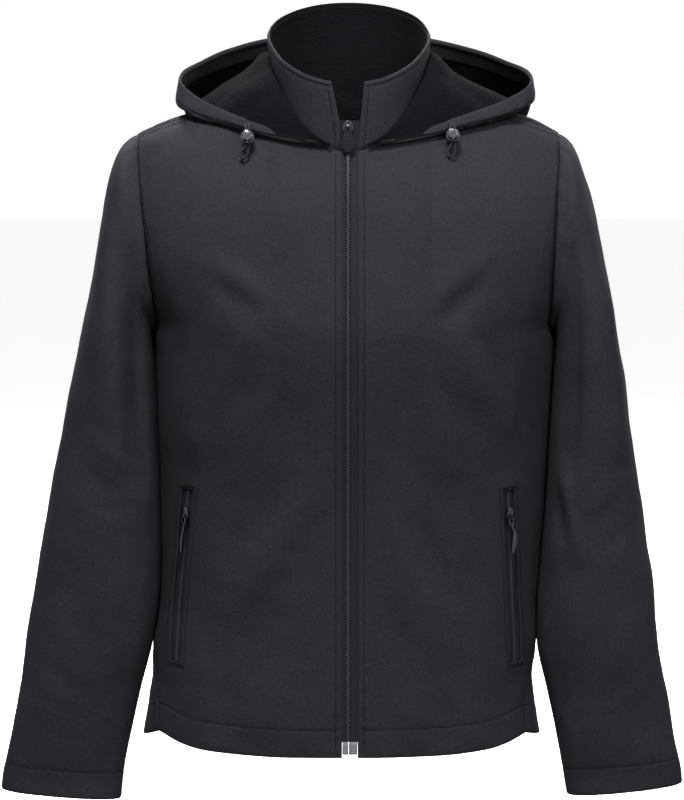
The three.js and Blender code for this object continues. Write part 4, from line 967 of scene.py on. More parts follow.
def add_node(tree, kind, inputs=(), **settings):
    """Adds a node with its settings; each input is a value or another node's output."""
    made = tree.nodes.new(kind)
    for name, value in settings.items():
        setattr(made, name, value)
    for name, value in dict(inputs).items():
        if isinstance(value, bpy.types.NodeSocket):
            tree.links.new(value, made.inputs[name])
        else:
            made.inputs[name].default_value = value
    return made


def new_finish(name, colour, roughness, **sockets):
    """A finish with one shader; the other settings go straight on the shader's own sockets."""
    made = bpy.data.materials.new(name)
    made.use_nodes = True
    made.diffuse_color = linear(colour)
    shader = made.node_tree.nodes["Principled BSDF"]
    shader.inputs["Base Color"].default_value = linear(colour)
    shader.inputs["Roughness"].default_value = roughness
    for socket, value in sockets.items():
        shader.inputs[socket.replace("_", " ")].default_value = value
    return made, made.node_tree, shader


def grain(tree, shader, mottle, dark, light, bumps, roughness=None):
    """Colour that wanders between two shades over mottle millimetres, and bumps of given sizes."""
    where = add_node(tree, "ShaderNodeTexCoord").outputs["Object"]
    cloud = add_node(tree, "ShaderNodeTexNoise", {
        "Vector": where, "Scale": 1 / (mottle * MM), "Detail": 5, "Roughness": 0.62})
    shade = add_node(tree, "ShaderNodeMix", {
        "Factor": cloud.outputs["Fac"], "A": linear(dark), "B": linear(light)}, data_type="RGBA")
    tree.links.new(shade.outputs["Result"], shader.inputs["Base Color"])
    if roughness:
        spread = add_node(tree, "ShaderNodeMapRange", {
            "Value": cloud.outputs["Fac"], "From Min": 0.3, "From Max": 0.7,
            "To Min": roughness[0], "To Max": roughness[1]})
        tree.links.new(spread.outputs["Result"], shader.inputs["Roughness"])
    normal = None
    for size, depth in bumps:
        fine = add_node(tree, "ShaderNodeTexNoise", {
            "Vector": where, "Scale": 1 / (size * MM), "Detail": 2, "Roughness": 0.5})
        inputs = {"Height": fine.outputs["Fac"], "Distance": depth * MM, "Strength": 1.0}
        if normal:
            inputs["Normal"] = normal
        normal = add_node(tree, "ShaderNodeBump", inputs).outputs["Normal"]
    tree.links.new(normal, shader.inputs["Normal"])
    return normal


def weave(tree, shader, normal, warp, weft, depth):
    """Threads crossing on the cut's own directions, warp and weft millimetres apart."""
    where = add_node(tree, "ShaderNodeUVMap", uv_map="cut").outputs["UV"]
    heights = []
    for direction, pitch in (("X", warp), ("Y", weft)):
        # One period of a band pattern is pi/10 long at scale 1
        heights.append(add_node(tree, "ShaderNodeTexWave", {
            "Vector": where, "Scale": math.pi / 10 / (pitch * MM), "Distortion": 0.4, "Detail": 1},
            bands_direction=direction).outputs["Fac"])
    over = add_node(tree, "ShaderNodeMath", {0: heights[0], 1: heights[1]}, operation="ADD")
    bump = add_node(tree, "ShaderNodeBump", {
        "Height": over.outputs["Value"], "Distance": depth * MM, "Strength": 1.0, "Normal": normal})
    tree.links.new(bump.outputs["Normal"], shader.inputs["Normal"])


def make_shell():
    # Polyester softshell, woven and bonded: matte, faintly heathered charcoal, with a soft sheen
    # at grazing angles. Its threads are 0.3 mm apart; they are drawn at 1.1 mm, to show.
    made, tree, shader = new_finish(
        "Bonded softshell, woven face", 0x2A2A2F, 0.74, Sheen_Weight=0.02, Sheen_Roughness=0.4,
        Sheen_Tint=linear(0x9A9AA4), Specular_IOR_Level=0.06)
    colour = bpy.context.scene.softshell_colours.shell
    dark, light = shades(colour, 0.42), shades(colour, 1.5)
    normal = grain(tree, shader, 2.4, dark, light, ((1.3, 0.12), (14, 0.35)), (0.68, 0.82))
    weave(tree, shader, normal, 1.1, 1.1, 0.05)
    return made


def make_fleece():
    # Polyester fleece, knitted and brushed: short soft pile that scatters light, no highlights.
    # The pile's tufts are 0.5 to 2 mm.
    made, tree, shader = new_finish(
        "Microfleece, brushed", 0x0F0F12, 0.95, Sheen_Weight=0.02, Sheen_Roughness=0.5,
        Sheen_Tint=linear(0x8C8C96), Specular_IOR_Level=0.03)
    colour = bpy.context.scene.softshell_colours.fleece
    grain(tree, shader, 2.2, shades(colour, 0.55), shades(colour, 1.6), ((2.4, 1.1), (1.1, 0.45)))
    return made


def make_tape():
    # Polyester zip tape, woven: dull blue-grey with fine ribs along it, drawn at 1.2 mm, to show.
    made, tree, shader = new_finish("Zip tape, woven", 0x24242A, 0.85, Specular_IOR_Level=0.08)
    normal = grain(tree, shader, 2.5, 0x1C1C21, 0x2C2C33, ((1.2, 0.05),))
    weave(tree, shader, normal, 1.2, 0.9, 0.1)
    return made


def make_teeth():
    # Acetal, injection moulded: smooth dark grey with a soft waxy highlight on each tooth.
    made, tree, shader = new_finish(
        "Acetal, moulded", 0x33333B, 0.4, IOR=1.48, Specular_IOR_Level=0.2)
    grain(tree, shader, 6, 0x2E2E35, 0x3A3A42, ((0.8, 0.02),), (0.34, 0.5))
    return made


def make_dark_metal():
    # Zinc alloy, die cast and plated in gunmetal: dark, with clear but soft reflections.
    made, tree, shader = new_finish("Zinc alloy, gunmetal plated", 0x48484F, 0.22, Metallic=1.0)
    grain(tree, shader, 4, 0x3E3E45, 0x56565D, ((0.7, 0.015),), (0.16, 0.3))
    return made


def make_bright_metal():
    # Aluminium, stamped and tumbled: pale satin silver, a little duller in its hollows.
    made, tree, shader = new_finish("Aluminium, tumbled", 0x8E8E94, 0.36, Metallic=1.0)
    grain(tree, shader, 2.5, 0x6C6C72, 0xB0B0B6, ((0.6, 0.05),), (0.28, 0.44))
    return made


def make_rubber():
    # Thermoplastic rubber, moulded: near black, a fine spark-eroded grain and a broad dim highlight.
    made, tree, shader = new_finish(
        "Thermoplastic rubber, moulded", 0x1A1A1F, 0.55, IOR=1.5, Specular_IOR_Level=0.16)
    grain(tree, shader, 8, 0x16161A, 0x202025, ((0.5, 0.04),), (0.5, 0.64))
    return made


def make_lock():
    # Smoked polycarbonate, injection moulded: glossy grey that lets some light through.
    made, tree, shader = new_finish(
        "Smoked polycarbonate, moulded", 0x5A5A62, 0.14, IOR=1.585, Transmission_Weight=0.45,
        Coat_Weight=0.3)
    grain(tree, shader, 2.5, 0x3E3E46, 0x78787F, ((1.5, 0.04),), (0.1, 0.22))
    return made


def make_cord():
    # Elastic cord with a braided polyester cover: small crossing picks, 0.8 mm apart, drawn at 1.
    made, tree, shader = new_finish(
        "Elastic cord, braided cover", 0x2A2A2F, 0.8, Sheen_Weight=0.03, Specular_IOR_Level=0.12)
    normal = grain(tree, shader, 1.5, 0x222226, 0x343439, ((0.6, 0.05),))
    weave(tree, shader, normal, 1.0, 1.0, 0.16)
    return made


def make_thread():
    # Polyester sewing thread, twisted: darker than the cloth, partly its own colour and partly painted
    # shade of the sewn groove it lies in, with a faint silky highlight.
    made, tree, shader = new_finish(
        "Polyester thread, twisted, painted groove shade", 0x101012, 0.5, Specular_IOR_Level=0.12)
    grain(tree, shader, 1.5, 0x0C0C0E, 0x151518, ((0.5, 0.05),))
    return made


FINISHES = {
    "shell": make_shell, "fleece": make_fleece, "tape": make_tape, "teeth": make_teeth,
    "dark_metal": make_dark_metal, "bright_metal": make_bright_metal, "rubber": make_rubber,
    "lock": make_lock, "cord": make_cord, "thread": make_thread,
}
made_finishes = {}


def finish(name):
    if name not in made_finishes:
        made_finishes[name] = FINISHES[name]()
    return made_finishes[name]


def shades(colour, factor):
    """A linear colour from the sidebar, made lighter or darker, as an sRGB hex number."""
    parts = [min(max(c * factor, 0), 1) for c in colour[:3]]
    parts = [12.92 * p if p <= 0.0031308 else 1.055 * p ** (1 / 2.4) - 0.055 for p in parts]
    red, green, blue = (int(round(p * 255)) for p in parts)
    return (red << 16) + (green << 8) + blue


# Pieces


def hex_default(colour):
    return tuple(linear(colour)[:3])


class SoftshellSizes(bpy.types.PropertyGroup):
    stitch_pitch: FloatProperty(
        name="Stitch length", description="Distance between needle holes of the topstitching",
        default=0.0034, min=0.002, max=0.006, unit="LENGTH")
    thread_thickness: FloatProperty(
        name="Thread thickness", description="Thickness of the topstitching thread",
        default=0.0009, min=0.0003, max=0.0015, unit="LENGTH")
    tooth_pitch: FloatProperty(
        name="Tooth pitch", description="Distance between teeth on one side of the front zip",
        default=0.0026, min=0.002, max=0.006, unit="LENGTH")
    pocket_tooth_pitch: FloatProperty(
        name="Pocket tooth pitch", description="Distance between teeth on one side of a pocket zip",
        default=0.0021, min=0.0015, max=0.004, unit="LENGTH")
    fold_height: FloatProperty(
        name="Folds", description="How strongly the cloth's folds stand out", default=1.5, min=0, max=2,
        subtype="FACTOR")


class SoftshellColours(bpy.types.PropertyGroup):
    shell: FloatVectorProperty(
        name="Shell", description="Colour of the woven face", subtype="COLOR", size=3, min=0, max=1,
        default=hex_default(0x2A2A2F))
    fleece: FloatVectorProperty(
        name="Fleece", description="Colour of the brushed inside", subtype="COLOR", size=3, min=0, max=1,
        default=hex_default(0x0F0F12))


def sizes():
    return bpy.context.scene.softshell_sizes


def side_name(side):
    return "right" if side < 0 else "left"


def grid_way(points, axis):
    """Distance of each place of a grid along one of its ways, from its start, and the whole."""
    step = np.linalg.norm(np.diff(points, axis=axis), axis=-1)
    way = np.cumsum(step, axis=axis)
    first = np.zeros_like(np.take(way, [0], axis=axis))
    way = np.concatenate([first, way], axis=axis)
    return way, np.take(way, [-1], axis=axis)


def off_body(side, x, z, off):
    turn, run = place_at(side, x, z, True)
    normal = body_normal(side, turn, run)
    return body(side, turn, run) + normal * np.asarray(off, float)[..., None], normal


def pocket_places(side, across, along, off):
    """Places over a pocket: millimetres across its middle line and along it, up from its middle."""
    p = POCKETS[side]
    top, foot = np.array(p["top"]), np.array(p["foot"])
    up = (top - foot) / np.linalg.norm(top - foot)
    over = np.array([up[1], -up[0]])
    middle = (top + foot) / 2
    x = middle[0] + over[0] * across + up[0] * along
    z = middle[1] + over[1] * across + up[1] * along
    return off_body(side, x, z, off)


def pocket_distance(side, x, z):
    p = POCKETS[side]
    top, foot = np.array(p["top"]), np.array(p["foot"])
    way = foot - top
    t = np.clip(((x - top[0]) * way[0] + (z - top[1]) * way[1]) / (way @ way), 0, 1)
    return np.hypot(x - top[0] - way[0] * t, z - top[1] - way[1] * t)


FRONT_STEPS = np.concatenate([
    np.linspace(0, 1, 11), np.linspace(1, 17.7, 98)[1:], [17.82, 17.9, 17.95, 17.98, 18],
])
BACK_STEPS = np.concatenate([np.linspace(0, 19.7, 108), [19.82, 19.9, 19.95, 19.98, 20]])
PANEL_ROWS = np.concatenate([
    [0, 0.0012, 0.003], np.linspace(0.006, 0.064, 30), 1 - (1 - np.linspace(0.07, 1, 112)) ** 1.05,
    [0.9945, 0.9975, 0.999],
])
PANEL_ROWS.sort()
# Shares of a panel's height among which its hem's stitch line lies
HEM_SHARES = np.linspace(0.02, 0.11, 46)


def sew_down(points, normals, hem_way, edge_ways, seed):
    """Lift of a panel by its sewing: rolled seams, a turned-in hem and its stitch line."""
    lift = np.zeros(hem_way.shape)
    for way in edge_ways:
        lift -= 0.95 * np.exp(-(way / 1.7) ** 2)
    lift -= 0.7 * np.exp(-(hem_way / 1.1) ** 2)
    return lift + pucker(hem_way - HEM_DEPTH, points[..., 0] * 1.1 + points[..., 1], seed)


class SOFTSHELL_OT_stage(bpy.types.Operator):
    """Plain pale floor, soft studio light and the camera"""
    bl_idname = "softshell.stage"
    bl_label = "Stage"

    def execute(self, context):
        scene = context.scene
        scene.view_settings.view_transform = "Standard"
        data = bpy.data.cameras.new("camera")
        data.lens = 117
        data.sensor_fit = "VERTICAL"
        data.sensor_height = 36
        data.clip_end = 200
        camera = bpy.data.objects.new("camera", data)
        scene.collection.objects.link(camera)
        aim = Vector((-0.007, 0, -0.31))
        tilt = math.radians(4.6)
        camera.location = aim + Vector((0, -math.cos(tilt), math.sin(tilt))) * 2.6
        camera.rotation_euler = (aim - camera.location).to_track_quat("-Z", "Y").to_euler()
        scene.camera = camera

        world = bpy.data.worlds.new("studio")
        scene.world = world
        world.use_nodes = True
        # A white backdrop round the horizon; over and under it the room is dim, so that the soft
        # lamps shape the cloth
        tree = world.node_tree
        height = add_node(tree, "ShaderNodeSeparateXYZ", {
            "Vector": add_node(tree, "ShaderNodeTexCoord").outputs["Generated"]}).outputs["Z"]
        level = add_node(tree, "ShaderNodeMath", {0: height}, operation="ABSOLUTE")
        wall_light = add_node(tree, "ShaderNodeMapRange", {
            "Value": level.outputs["Value"], "From Min": 0.17, "From Max": 0.24,
            "To Min": 1.0, "To Max": 0.1}, interpolation_type="SMOOTHSTEP")
        tree.links.new(wall_light.outputs["Result"], tree.nodes["Background"].inputs["Strength"])
        tree.nodes["Background"].inputs["Color"].default_value = (1, 1, 1, 1)
        rim = 40
        places = [(60000 * math.cos(2 * math.pi * k / rim), 60000 * math.sin(2 * math.pi * k / rim), -770)
                  for k in range(rim)]
        floor = bpy.data.objects.new("floor", mesh_of("floor", places, [list(range(rim))]))
        scene.collection.objects.link(floor)
        # Matt white paint on board: even and bright, with no gloss
        paint, tree, shader = new_finish("Floor, matt white paint", 0xF4F4F4, 0.9, Emission_Strength=0.8)
        shader.inputs["Emission Color"].default_value = (1, 1, 1, 1)
        grain(tree, shader, 400, 0xF2F2F2, 0xF6F6F6, ((60, 0.02),))
        floor.data.materials.append(paint)
        # The floor throws no light back up on the cloth, which the lamps light from above
        floor.visible_diffuse = False
        floor.visible_glossy = False
        for name, place, size, power in (
            ("key", (-0.3, -1.3, 2.0), 0.8, 92), ("fill", (1.3, -1.8, 1.1), 1.0, 26),
            ("top", (0.1, 0.1, 2.2), 1.2, 12), ("behind", (-0.5, 1.4, 1.9), 0.9, 92),
            ("behind_fill", (1.3, 1.7, 1.1), 1.0, 26),
        ):
            light = bpy.data.lights.new(name, "AREA")
            light.shape = "DISK"
            light.size = size
            light.energy = power
            lamp = bpy.data.objects.new(name, light)
            scene.collection.objects.link(lamp)
            lamp.location = place
            way = Vector((0, 0, -0.3)) - lamp.location
            lamp.rotation_euler = way.to_track_quat("-Z", "Y").to_euler()
        return {"FINISHED"}


def lock_directions():
    tilt = math.radians(LOCK_TILT)
    up = np.array([0, math.sin(tilt), math.cos(tilt)])
    return up, np.array([0, -up[2], up[1]])


class SOFTSHELL_OT_cords(bpy.types.Operator):
    """The two loops of elastic cord at the hood's ends"""
    bl_idname = "softshell.cords"
    bl_label = "Hood cords"

    def execute(self, context):
        up, out = lock_directions()
        for name, lock in LOCKS.items():
            at = np.array(lock["at"], float)
            middle = at + out * CHANNEL_MIDDLE
            loop_x, loop_z = lock["loop"]
            exit_y, exit_z = lock["exit"]

            def strand(k):
                x = at[0] + k * CORD_APART / 2
                inside = [np.array([x, *(middle + up * v)[1:]]) for v in (9.4, 5, 0, -5, -8.5)]
                low = inside[-1]
                return [
                    np.array([x, exit_y, exit_z]), np.array([x, exit_y - 3.4, exit_z + 0.6]), *inside,
                    np.array([mix(x, loop_x, 0.6) + k * 2.2, low[1] - 0.8, mix(low[2], loop_z, 0.35)]),
                    np.array([loop_x + k * 3.7, low[1] - 1, mix(low[2], loop_z, 0.7)]),
                ]

            bottom = np.array([loop_x, middle[1] - 3.2, loop_z])
            route = np.array(strand(-1) + [bottom] + strand(1)[::-1])
            path = catmull(route, np.linspace(0, len(route) - 1, 145))
            mesh = mesh_of(f"drawcord_{name}", *tube(path, CORD_DIAMETER / 2, 14))
            made = piece(mesh.name, mesh, [finish("cord")], [f"hood_cord_{name}"])
        return {"FINISHED"}


class SOFTSHELL_OT_fronts(bpy.types.Operator):
    """The two fronts, with their turned-in hems, pocket openings and topstitching"""
    bl_idname = "softshell.fronts"
    bl_label = "Fronts"

    def execute(self, context):
        for side in (-1, 1):
            name = f"front_{side_name(side)}"
            points, normals, hem_way = panel(side, True, FRONT_STEPS, PANEL_ROWS)
            plain = points.copy()
            across, across_all = grid_way(points, 1)
            down, down_all = grid_way(points, 0)
            zip_way = np.abs(points[..., 0] - ZIP_EDGE[side])
            to_side = across_all - across
            to_top = down_all - down
            near_pocket = pocket_distance(side, points[..., 0], points[..., 2])
            hold = smooth(zip_way, 6, 46) * smooth(to_side, 0, 22) * smooth(to_top, 1, 24)
            hold *= smooth(near_pocket, 9, 30)
            points = settle(points, normals, 11 + side, FOLDS_FRONT, (), hold)
            sewn = smooth(FRONT_STEPS, 5.05, 5.3)[None, :] * smooth(to_side, 4, 10)
            lift = sew_down(plain, normals, hem_way, (to_side, to_top), 3 + side)
            lift -= 1.1 * np.exp(-(zip_way / 1.3) ** 2)
            lift += pucker(zip_way - 6, plain[..., 2], 5 + side) * smooth(to_top, 2, 6)
            near_row, far_row = (to_top - way for way in TWIN_STITCH)
            lift += (pucker(near_row, across, 7 + side) + pucker(far_row, across, 9 + side)) * sewn
            lift += 0.3 * np.exp(-((to_top - 3) / 2.2) ** 2) * sewn
            lift += 0.35 * np.exp(-((near_pocket - 7.4) / 1.6) ** 2)
            points = points + normals * lift[..., None]
            folded = smooth(-hem_way, -28, -26) * smooth(FRONT_STEPS, 1.2, 2)[None, :]
            made = cloth_piece(name, points, normals, mix(CLOTH, FOLDED, folded))
            along = np.linspace(-86, 86, 60)[:, None] + np.zeros(3)
            across = np.array([-5.5, 0, 5.5]) + 0 * along
            top, low = (pocket_places(side, across, along, off + 0 * along)[0] for off in (7, -7))
            cutter = wall(top, unit(top - low), 14)
            carve(made, mesh_of("opening", cutter[0], cutter[1]))

            # Welt round the pocket opening
            corners =[(sx * 3.9 + 2 * math.cos(a), sy * 84.6 + 2 * math.sin(a))
                       for sx, sy, start in ((1, 1, 0), (-1, 1, 1), (-1, -1, 2), (1, -1, 3))
                       for a in (start + np.linspace(0, 1, 4)) * math.pi / 2]
            ring = np.array(corners + corners[:1], float)
            length = running(np.linalg.norm(np.diff(ring, axis=0), axis=1))
            at = np.linspace(0, length[-1], 220, endpoint=False)
            a, b = np.interp(at, length, ring[:, 0]), np.interp(at, length, ring[:, 1])
            path, outward = pocket_places(side, a, b, 0 * a - 0.35)
            welt = tube(path, 0.7, 10, closed=True, squash=0.8, up=outward)
            piece(f"pocket_welt_{side_name(side)}", mesh_of("welt", *welt), [finish("shell")])

            rows = []
            z = np.linspace(HEM_Z + 8, NECK_FRONT_Z - 3, 300)
            x = ZIP_EDGE[side] + side * EDGE_STITCH + 0 * z
            rows.append(off_body(side, x, z, 0 * z))
            signs = np.array([(-1, -1), (-1, 1), (1, 1), (1, -1), (-1, -1)])
            ring = signs * (POCKET_STITCH_OUT, POCKET_STITCH_HALF)
            t = np.linspace(0, 1, 80)
            for start, end in zip(ring, ring[1:]):
                places = mix(start[0], end[0], t), mix(start[1], end[1], t)
                rows.append(pocket_places(side, *places, 0 * t))
            t = np.linspace(-6.5, 6.5, 12)
            for end in (-1, 1):
                # Bartack: stitches close together, across each end of the opening
                for k in range(BARTACK_ROWS):
                    rows.append(pocket_places(side, t, end * (87 + 0.62 * k) + 0 * t, 0 * t))
            steps = np.linspace(0.35, 17.95, 260)
            steps = np.concatenate([np.linspace(0.35, 0.95, 8), [1], steps[steps > 1.02]])
            rows.append(row_at(*panel(side, True, steps, HEM_SHARES), HEM_DEPTH))
            rows += edge_rows(side, True, TWIN_STITCH)
            rows += edge_rows(side, True, TWIN_STITCH, 5.1, 8.98)
            sew(f"stitching_{name}", rows, made)
        return {"FINISHED"}


def edge_rows(side, front, ways, start=None, end=None):
    """Stitch rows that run beside a panel's upper edge, at distances from it."""
    corner = 9 if front else 10
    last = 18 if front else 20
    start = corner + 0.02 if start is None else start
    end = last - 0.05 if end is None else end
    steps = np.linspace(start, end, 240)
    grid, out, _ = panel_part(side, front, steps, 1 - np.linspace(0, 0.06, 90))
    down, _ = grid_way(grid, 0)
    return [row_at(grid, out, down, way) for way in ways]


def panel_part(side, front, steps, shares):
    """A stretch of a panel that doesn't reach the zip."""
    whole = np.concatenate([[1], steps]) if front else steps
    grid, out, way = panel(side, front, whole, shares)
    return (grid[:, 1:], out[:, 1:], way[:, 1:]) if front else (grid, out, way)


class SOFTSHELL_OT_back(bpy.types.Operator):
    """The back, cut in one piece and wrapped over the shoulders to its forward seams"""
    bl_idname = "softshell.back"
    bl_label = "Back"

    def execute(self, context):
        halves = [panel(side, False, BACK_STEPS, PANEL_ROWS) for side in (-1, 1)]
        points, normals, hem_way = (
            np.concatenate([halves[0][k][:, ::-1][:, :-1], halves[1][k]], axis=1) for k in range(3))
        steps = np.concatenate([BACK_STEPS[::-1][:-1], BACK_STEPS])
        normals[:, len(BACK_STEPS) - 1, 0] = 0
        normals = unit(normals)
        plain = points.copy()
        across, across_all = grid_way(points, 1)
        down, down_all = grid_way(points, 0)
        to_side = np.minimum(across, across_all - across)
        to_top = down_all - down
        hold = smooth(to_side, 0, 22) * smooth(to_top, 1, 26)
        points = settle(points, normals, 23, (), FOLDS_BACK, hold)
        sewn = smooth(steps, 5.9, 6.1)[None, :] * smooth(to_side, 4, 10)
        lift = sew_down(plain, normals, hem_way, (to_side, to_top), 31)
        near_row, far_row = (to_top - way for way in TWIN_STITCH)
        lift += (pucker(near_row, across, 37) + pucker(far_row, across, 39)) * sewn
        lift += 0.25 * np.exp(-((to_top - 3) / 2.2) ** 2) * sewn
        points = points + normals * lift[..., None]
        folded = smooth(-hem_way, -28, -26)
        made = cloth_piece("back", points, normals, mix(CLOTH, FOLDED, folded))
        rows = []
        for side in (-1, 1):
            hem = panel(side, False, np.linspace(0, 19.9, 260), HEM_SHARES)
            rows.append(row_at(*hem, HEM_DEPTH))
            rows += edge_rows(side, False, TWIN_STITCH)
            rows += edge_rows(side, False, TWIN_STITCH, 6.1, 9.95)
            rows += edge_rows(side, False, (5.0,), 0.02, 5.95)
        sew("stitching_back", rows, made)
        return {"FINISHED"}


class SOFTSHELL_OT_sleeves(bpy.types.Operator):
    """The set-in sleeves with their turned-in cuffs"""
    bl_idname = "softshell.sleeves"
    bl_label = "Sleeves"

    def execute(self, context):
        for side in (-1, 1):
            rings = sleeve_rings(side)
            steps = np.linalg.norm(np.diff(rings, axis=0), axis=-1).mean(axis=1)
            knots = running(steps)
            whole = knots[-1]
            rows = np.concatenate([[0, 0.5, 1.2, 2.2, 3.6, 5.2], np.linspace(7, whole - 36, 132),
                                   whole - np.linspace(34, 2, 22), whole - np.array([1.1, 0.5, 0])])
            points = through(knots, rings, rows)
            normals = grid_normals(points, side, closed=True)
            way = rows[:, None] + 0 * points[..., 0]
            hem_way = whole - way
            hold = smooth(way, 0, 26) * smooth(hem_way, -30, 20)
            degrees = np.linspace(0, 360, points.shape[1], endpoint=False)[None, :]
            # The inner side lies smooth against the body
            hold = hold * (1 - 0.95 * smooth(-np.cos(np.radians(degrees)), 0.7, 0.97))
            points = settle(points, normals, 41 + side, FOLDS_SLEEVE_FRONT, FOLDS_SLEEVE_BACK, hold)
            lift = -0.95 * np.exp(-(way / 1.7) ** 2) - 0.7 * np.exp(-(hem_way / 1.1) ** 2)
            lift = lift + 0.25 * np.exp(-((way - 5) / 4.5) ** 2)
            lift = lift + pucker(hem_way - HEM_DEPTH, degrees * 0.9, 47 + side)
            # Ease at the sleeve's head, drawn into the seam in small uneven puckers
            gathered = np.exp(-((way - 6) / 7) ** 2) * 0.22
            waves = np.sin(np.radians(degrees * 17 + 8)) + np.sin(np.radians(degrees * 29))
            lift = lift + gathered * waves
            # Underarm seam from the armhole to the cuff
            seam_turn = np.minimum(np.abs(degrees - 180), 180) / 180 * 90
            lift = lift - 0.7 * np.exp(-(seam_turn / 0.7) ** 2)
            points = points + normals * lift[..., None]
            thick = mix(CLOTH, FOLDED, smooth(-hem_way, -28, -26))
            name = f"sleeve_{side_name(side)}"
            made = cloth_piece(name, points, normals, thick, closed=True)
            ring = through(knots, rings, np.array([whole - HEM_DEPTH, whole - HEM_DEPTH + 1]))
            line = np.concatenate([ring[0], ring[0][:1]])
            out = grid_normals(ring, side, closed=True)[0]
            sew(f"stitching_{name}", [(line, np.concatenate([out, out[:1]]))], made)
        return {"FINISHED"}


class SOFTSHELL_OT_collar(bpy.types.Operator):
    """The stand collar, two layers, with its edges stitched, and the soft guard behind its opening"""
    bl_idname = "softshell.collar"
    bl_label = "Collar"

    def execute(self, context):
        shares = np.concatenate([[0, 0.012, 0.03], np.linspace(0.06, 0.94, 34), [0.965, 0.985, 0.994, 1]])
        halves = []
        for side in (-1, 1):
            second = ZIP_EDGE_NECK[side] + (NECK_SEAM - ZIP_EDGE_NECK[side]) / 5
            u = np.concatenate([[0, 0.03, 0.07], np.linspace(0.14, 1, 12)])
            edge = np.array([math.degrees(math.asin(abs(collar_edge(side, s)) / 76)) for s in shares])
            near = mix(edge[:, None], second, u[None, :])
            far = np.linspace(second, 180, 72)[1:] + 0 * edge[:, None]
            degrees = np.concatenate([near, far], axis=1)
            points = collar(side, degrees, shares[:, None])
            normals = collar_normal(side, degrees, np.broadcast_to(shares[:, None], degrees.shape))
            halves.append((points, normals, degrees, np.concatenate([u, 1 + np.arange(71)])))
        points, normals = (
            np.concatenate([halves[0][k], halves[1][k][:, ::-1][:, 1:]], axis=1) for k in (0, 1))
        steps = np.concatenate([halves[0][3], halves[1][3][::-1][1:]])
        middle = halves[0][0].shape[1] - 1
        normals[:, middle, 0] = 0
        normals = unit(normals)
        across, across_all = grid_way(points, 1)
        up, up_all = grid_way(points, 0)
        to_edge = np.minimum(across, across_all - across)
        to_top = up_all - up
        hold = smooth(up, 1, 20) * smooth(to_edge, 4, 30)
        lift = 0.75 * slack(points, 59) * hold
        lift -= 0.75 * np.exp(-(up / 1.4) ** 2)
        for way in (to_edge, to_top):
            lift -= 0.9 * np.exp(-(way / 1.1) ** 2)
        lift += pucker(to_top - 6, across, 61) + pucker(to_edge - 6, up, 62) * smooth(to_top, 4, 9)
        points = points + normals * lift[..., None]
        thick = mix(CLOTH, COLLAR_CLOTH, smooth(steps, 0.8, 2))[None, :]
        thick = thick * (1 - 0.5 * np.exp(-(to_top / 0.9) ** 2))
        made = cloth_piece("collar", points, normals, mix(CLOTH, thick, smooth(up, 0, 3)))
        rows = []
        columns = slice(3, -3)
        row = np.argmin(np.abs(to_top[:, middle] - EDGE_STITCH))
        rows.append((points[row, columns], normals[row, columns]))
        rows.append((points[row, columns] - normals[row, columns] * 4, -normals[row, columns]))
        k = int(np.argmin(np.abs(to_edge[20][:20] - EDGE_STITCH)))
        for column in (k, -1 - k):
            rows.append((points[2:-8, column], normals[2:-8, column]))
        sew("stitching_collar", rows, made)

        v = np.linspace(0, 1, 34)[:, None]
        u = np.linspace(0, 1, 30)[None, :]
        share = mix(0.42, 0.985, v)
        right = mix(-7, -15.6, share ** 1.6) - 2.5
        left = mix(8.3, 12.6, share) + 2.5
        x = mix(right, left, u)
        at = np.degrees(np.arcsin(np.abs(x) / 78))
        share = share + 0 * x
        points = np.where((x < 0)[..., None], collar(-1, at, share), collar(1, at, share))
        points[..., 1] += CLOTH + SEAM + 0.45 - 1.6 * np.sin(np.pi * u) * np.minimum(1, 3 * v)
        points[..., 1] += 0.5 * np.sin(np.pi * u) * np.sin(9 * v + 3 * u)
        places, quads, _, uvs = wall(points, grid_normals(points, 1), CLOTH)
        guard = piece("zip_guard", mesh_of("zip_guard", places, quads, uvs), [finish("fleece")],
                      ["chin_guard"])
        return {"FINISHED"}


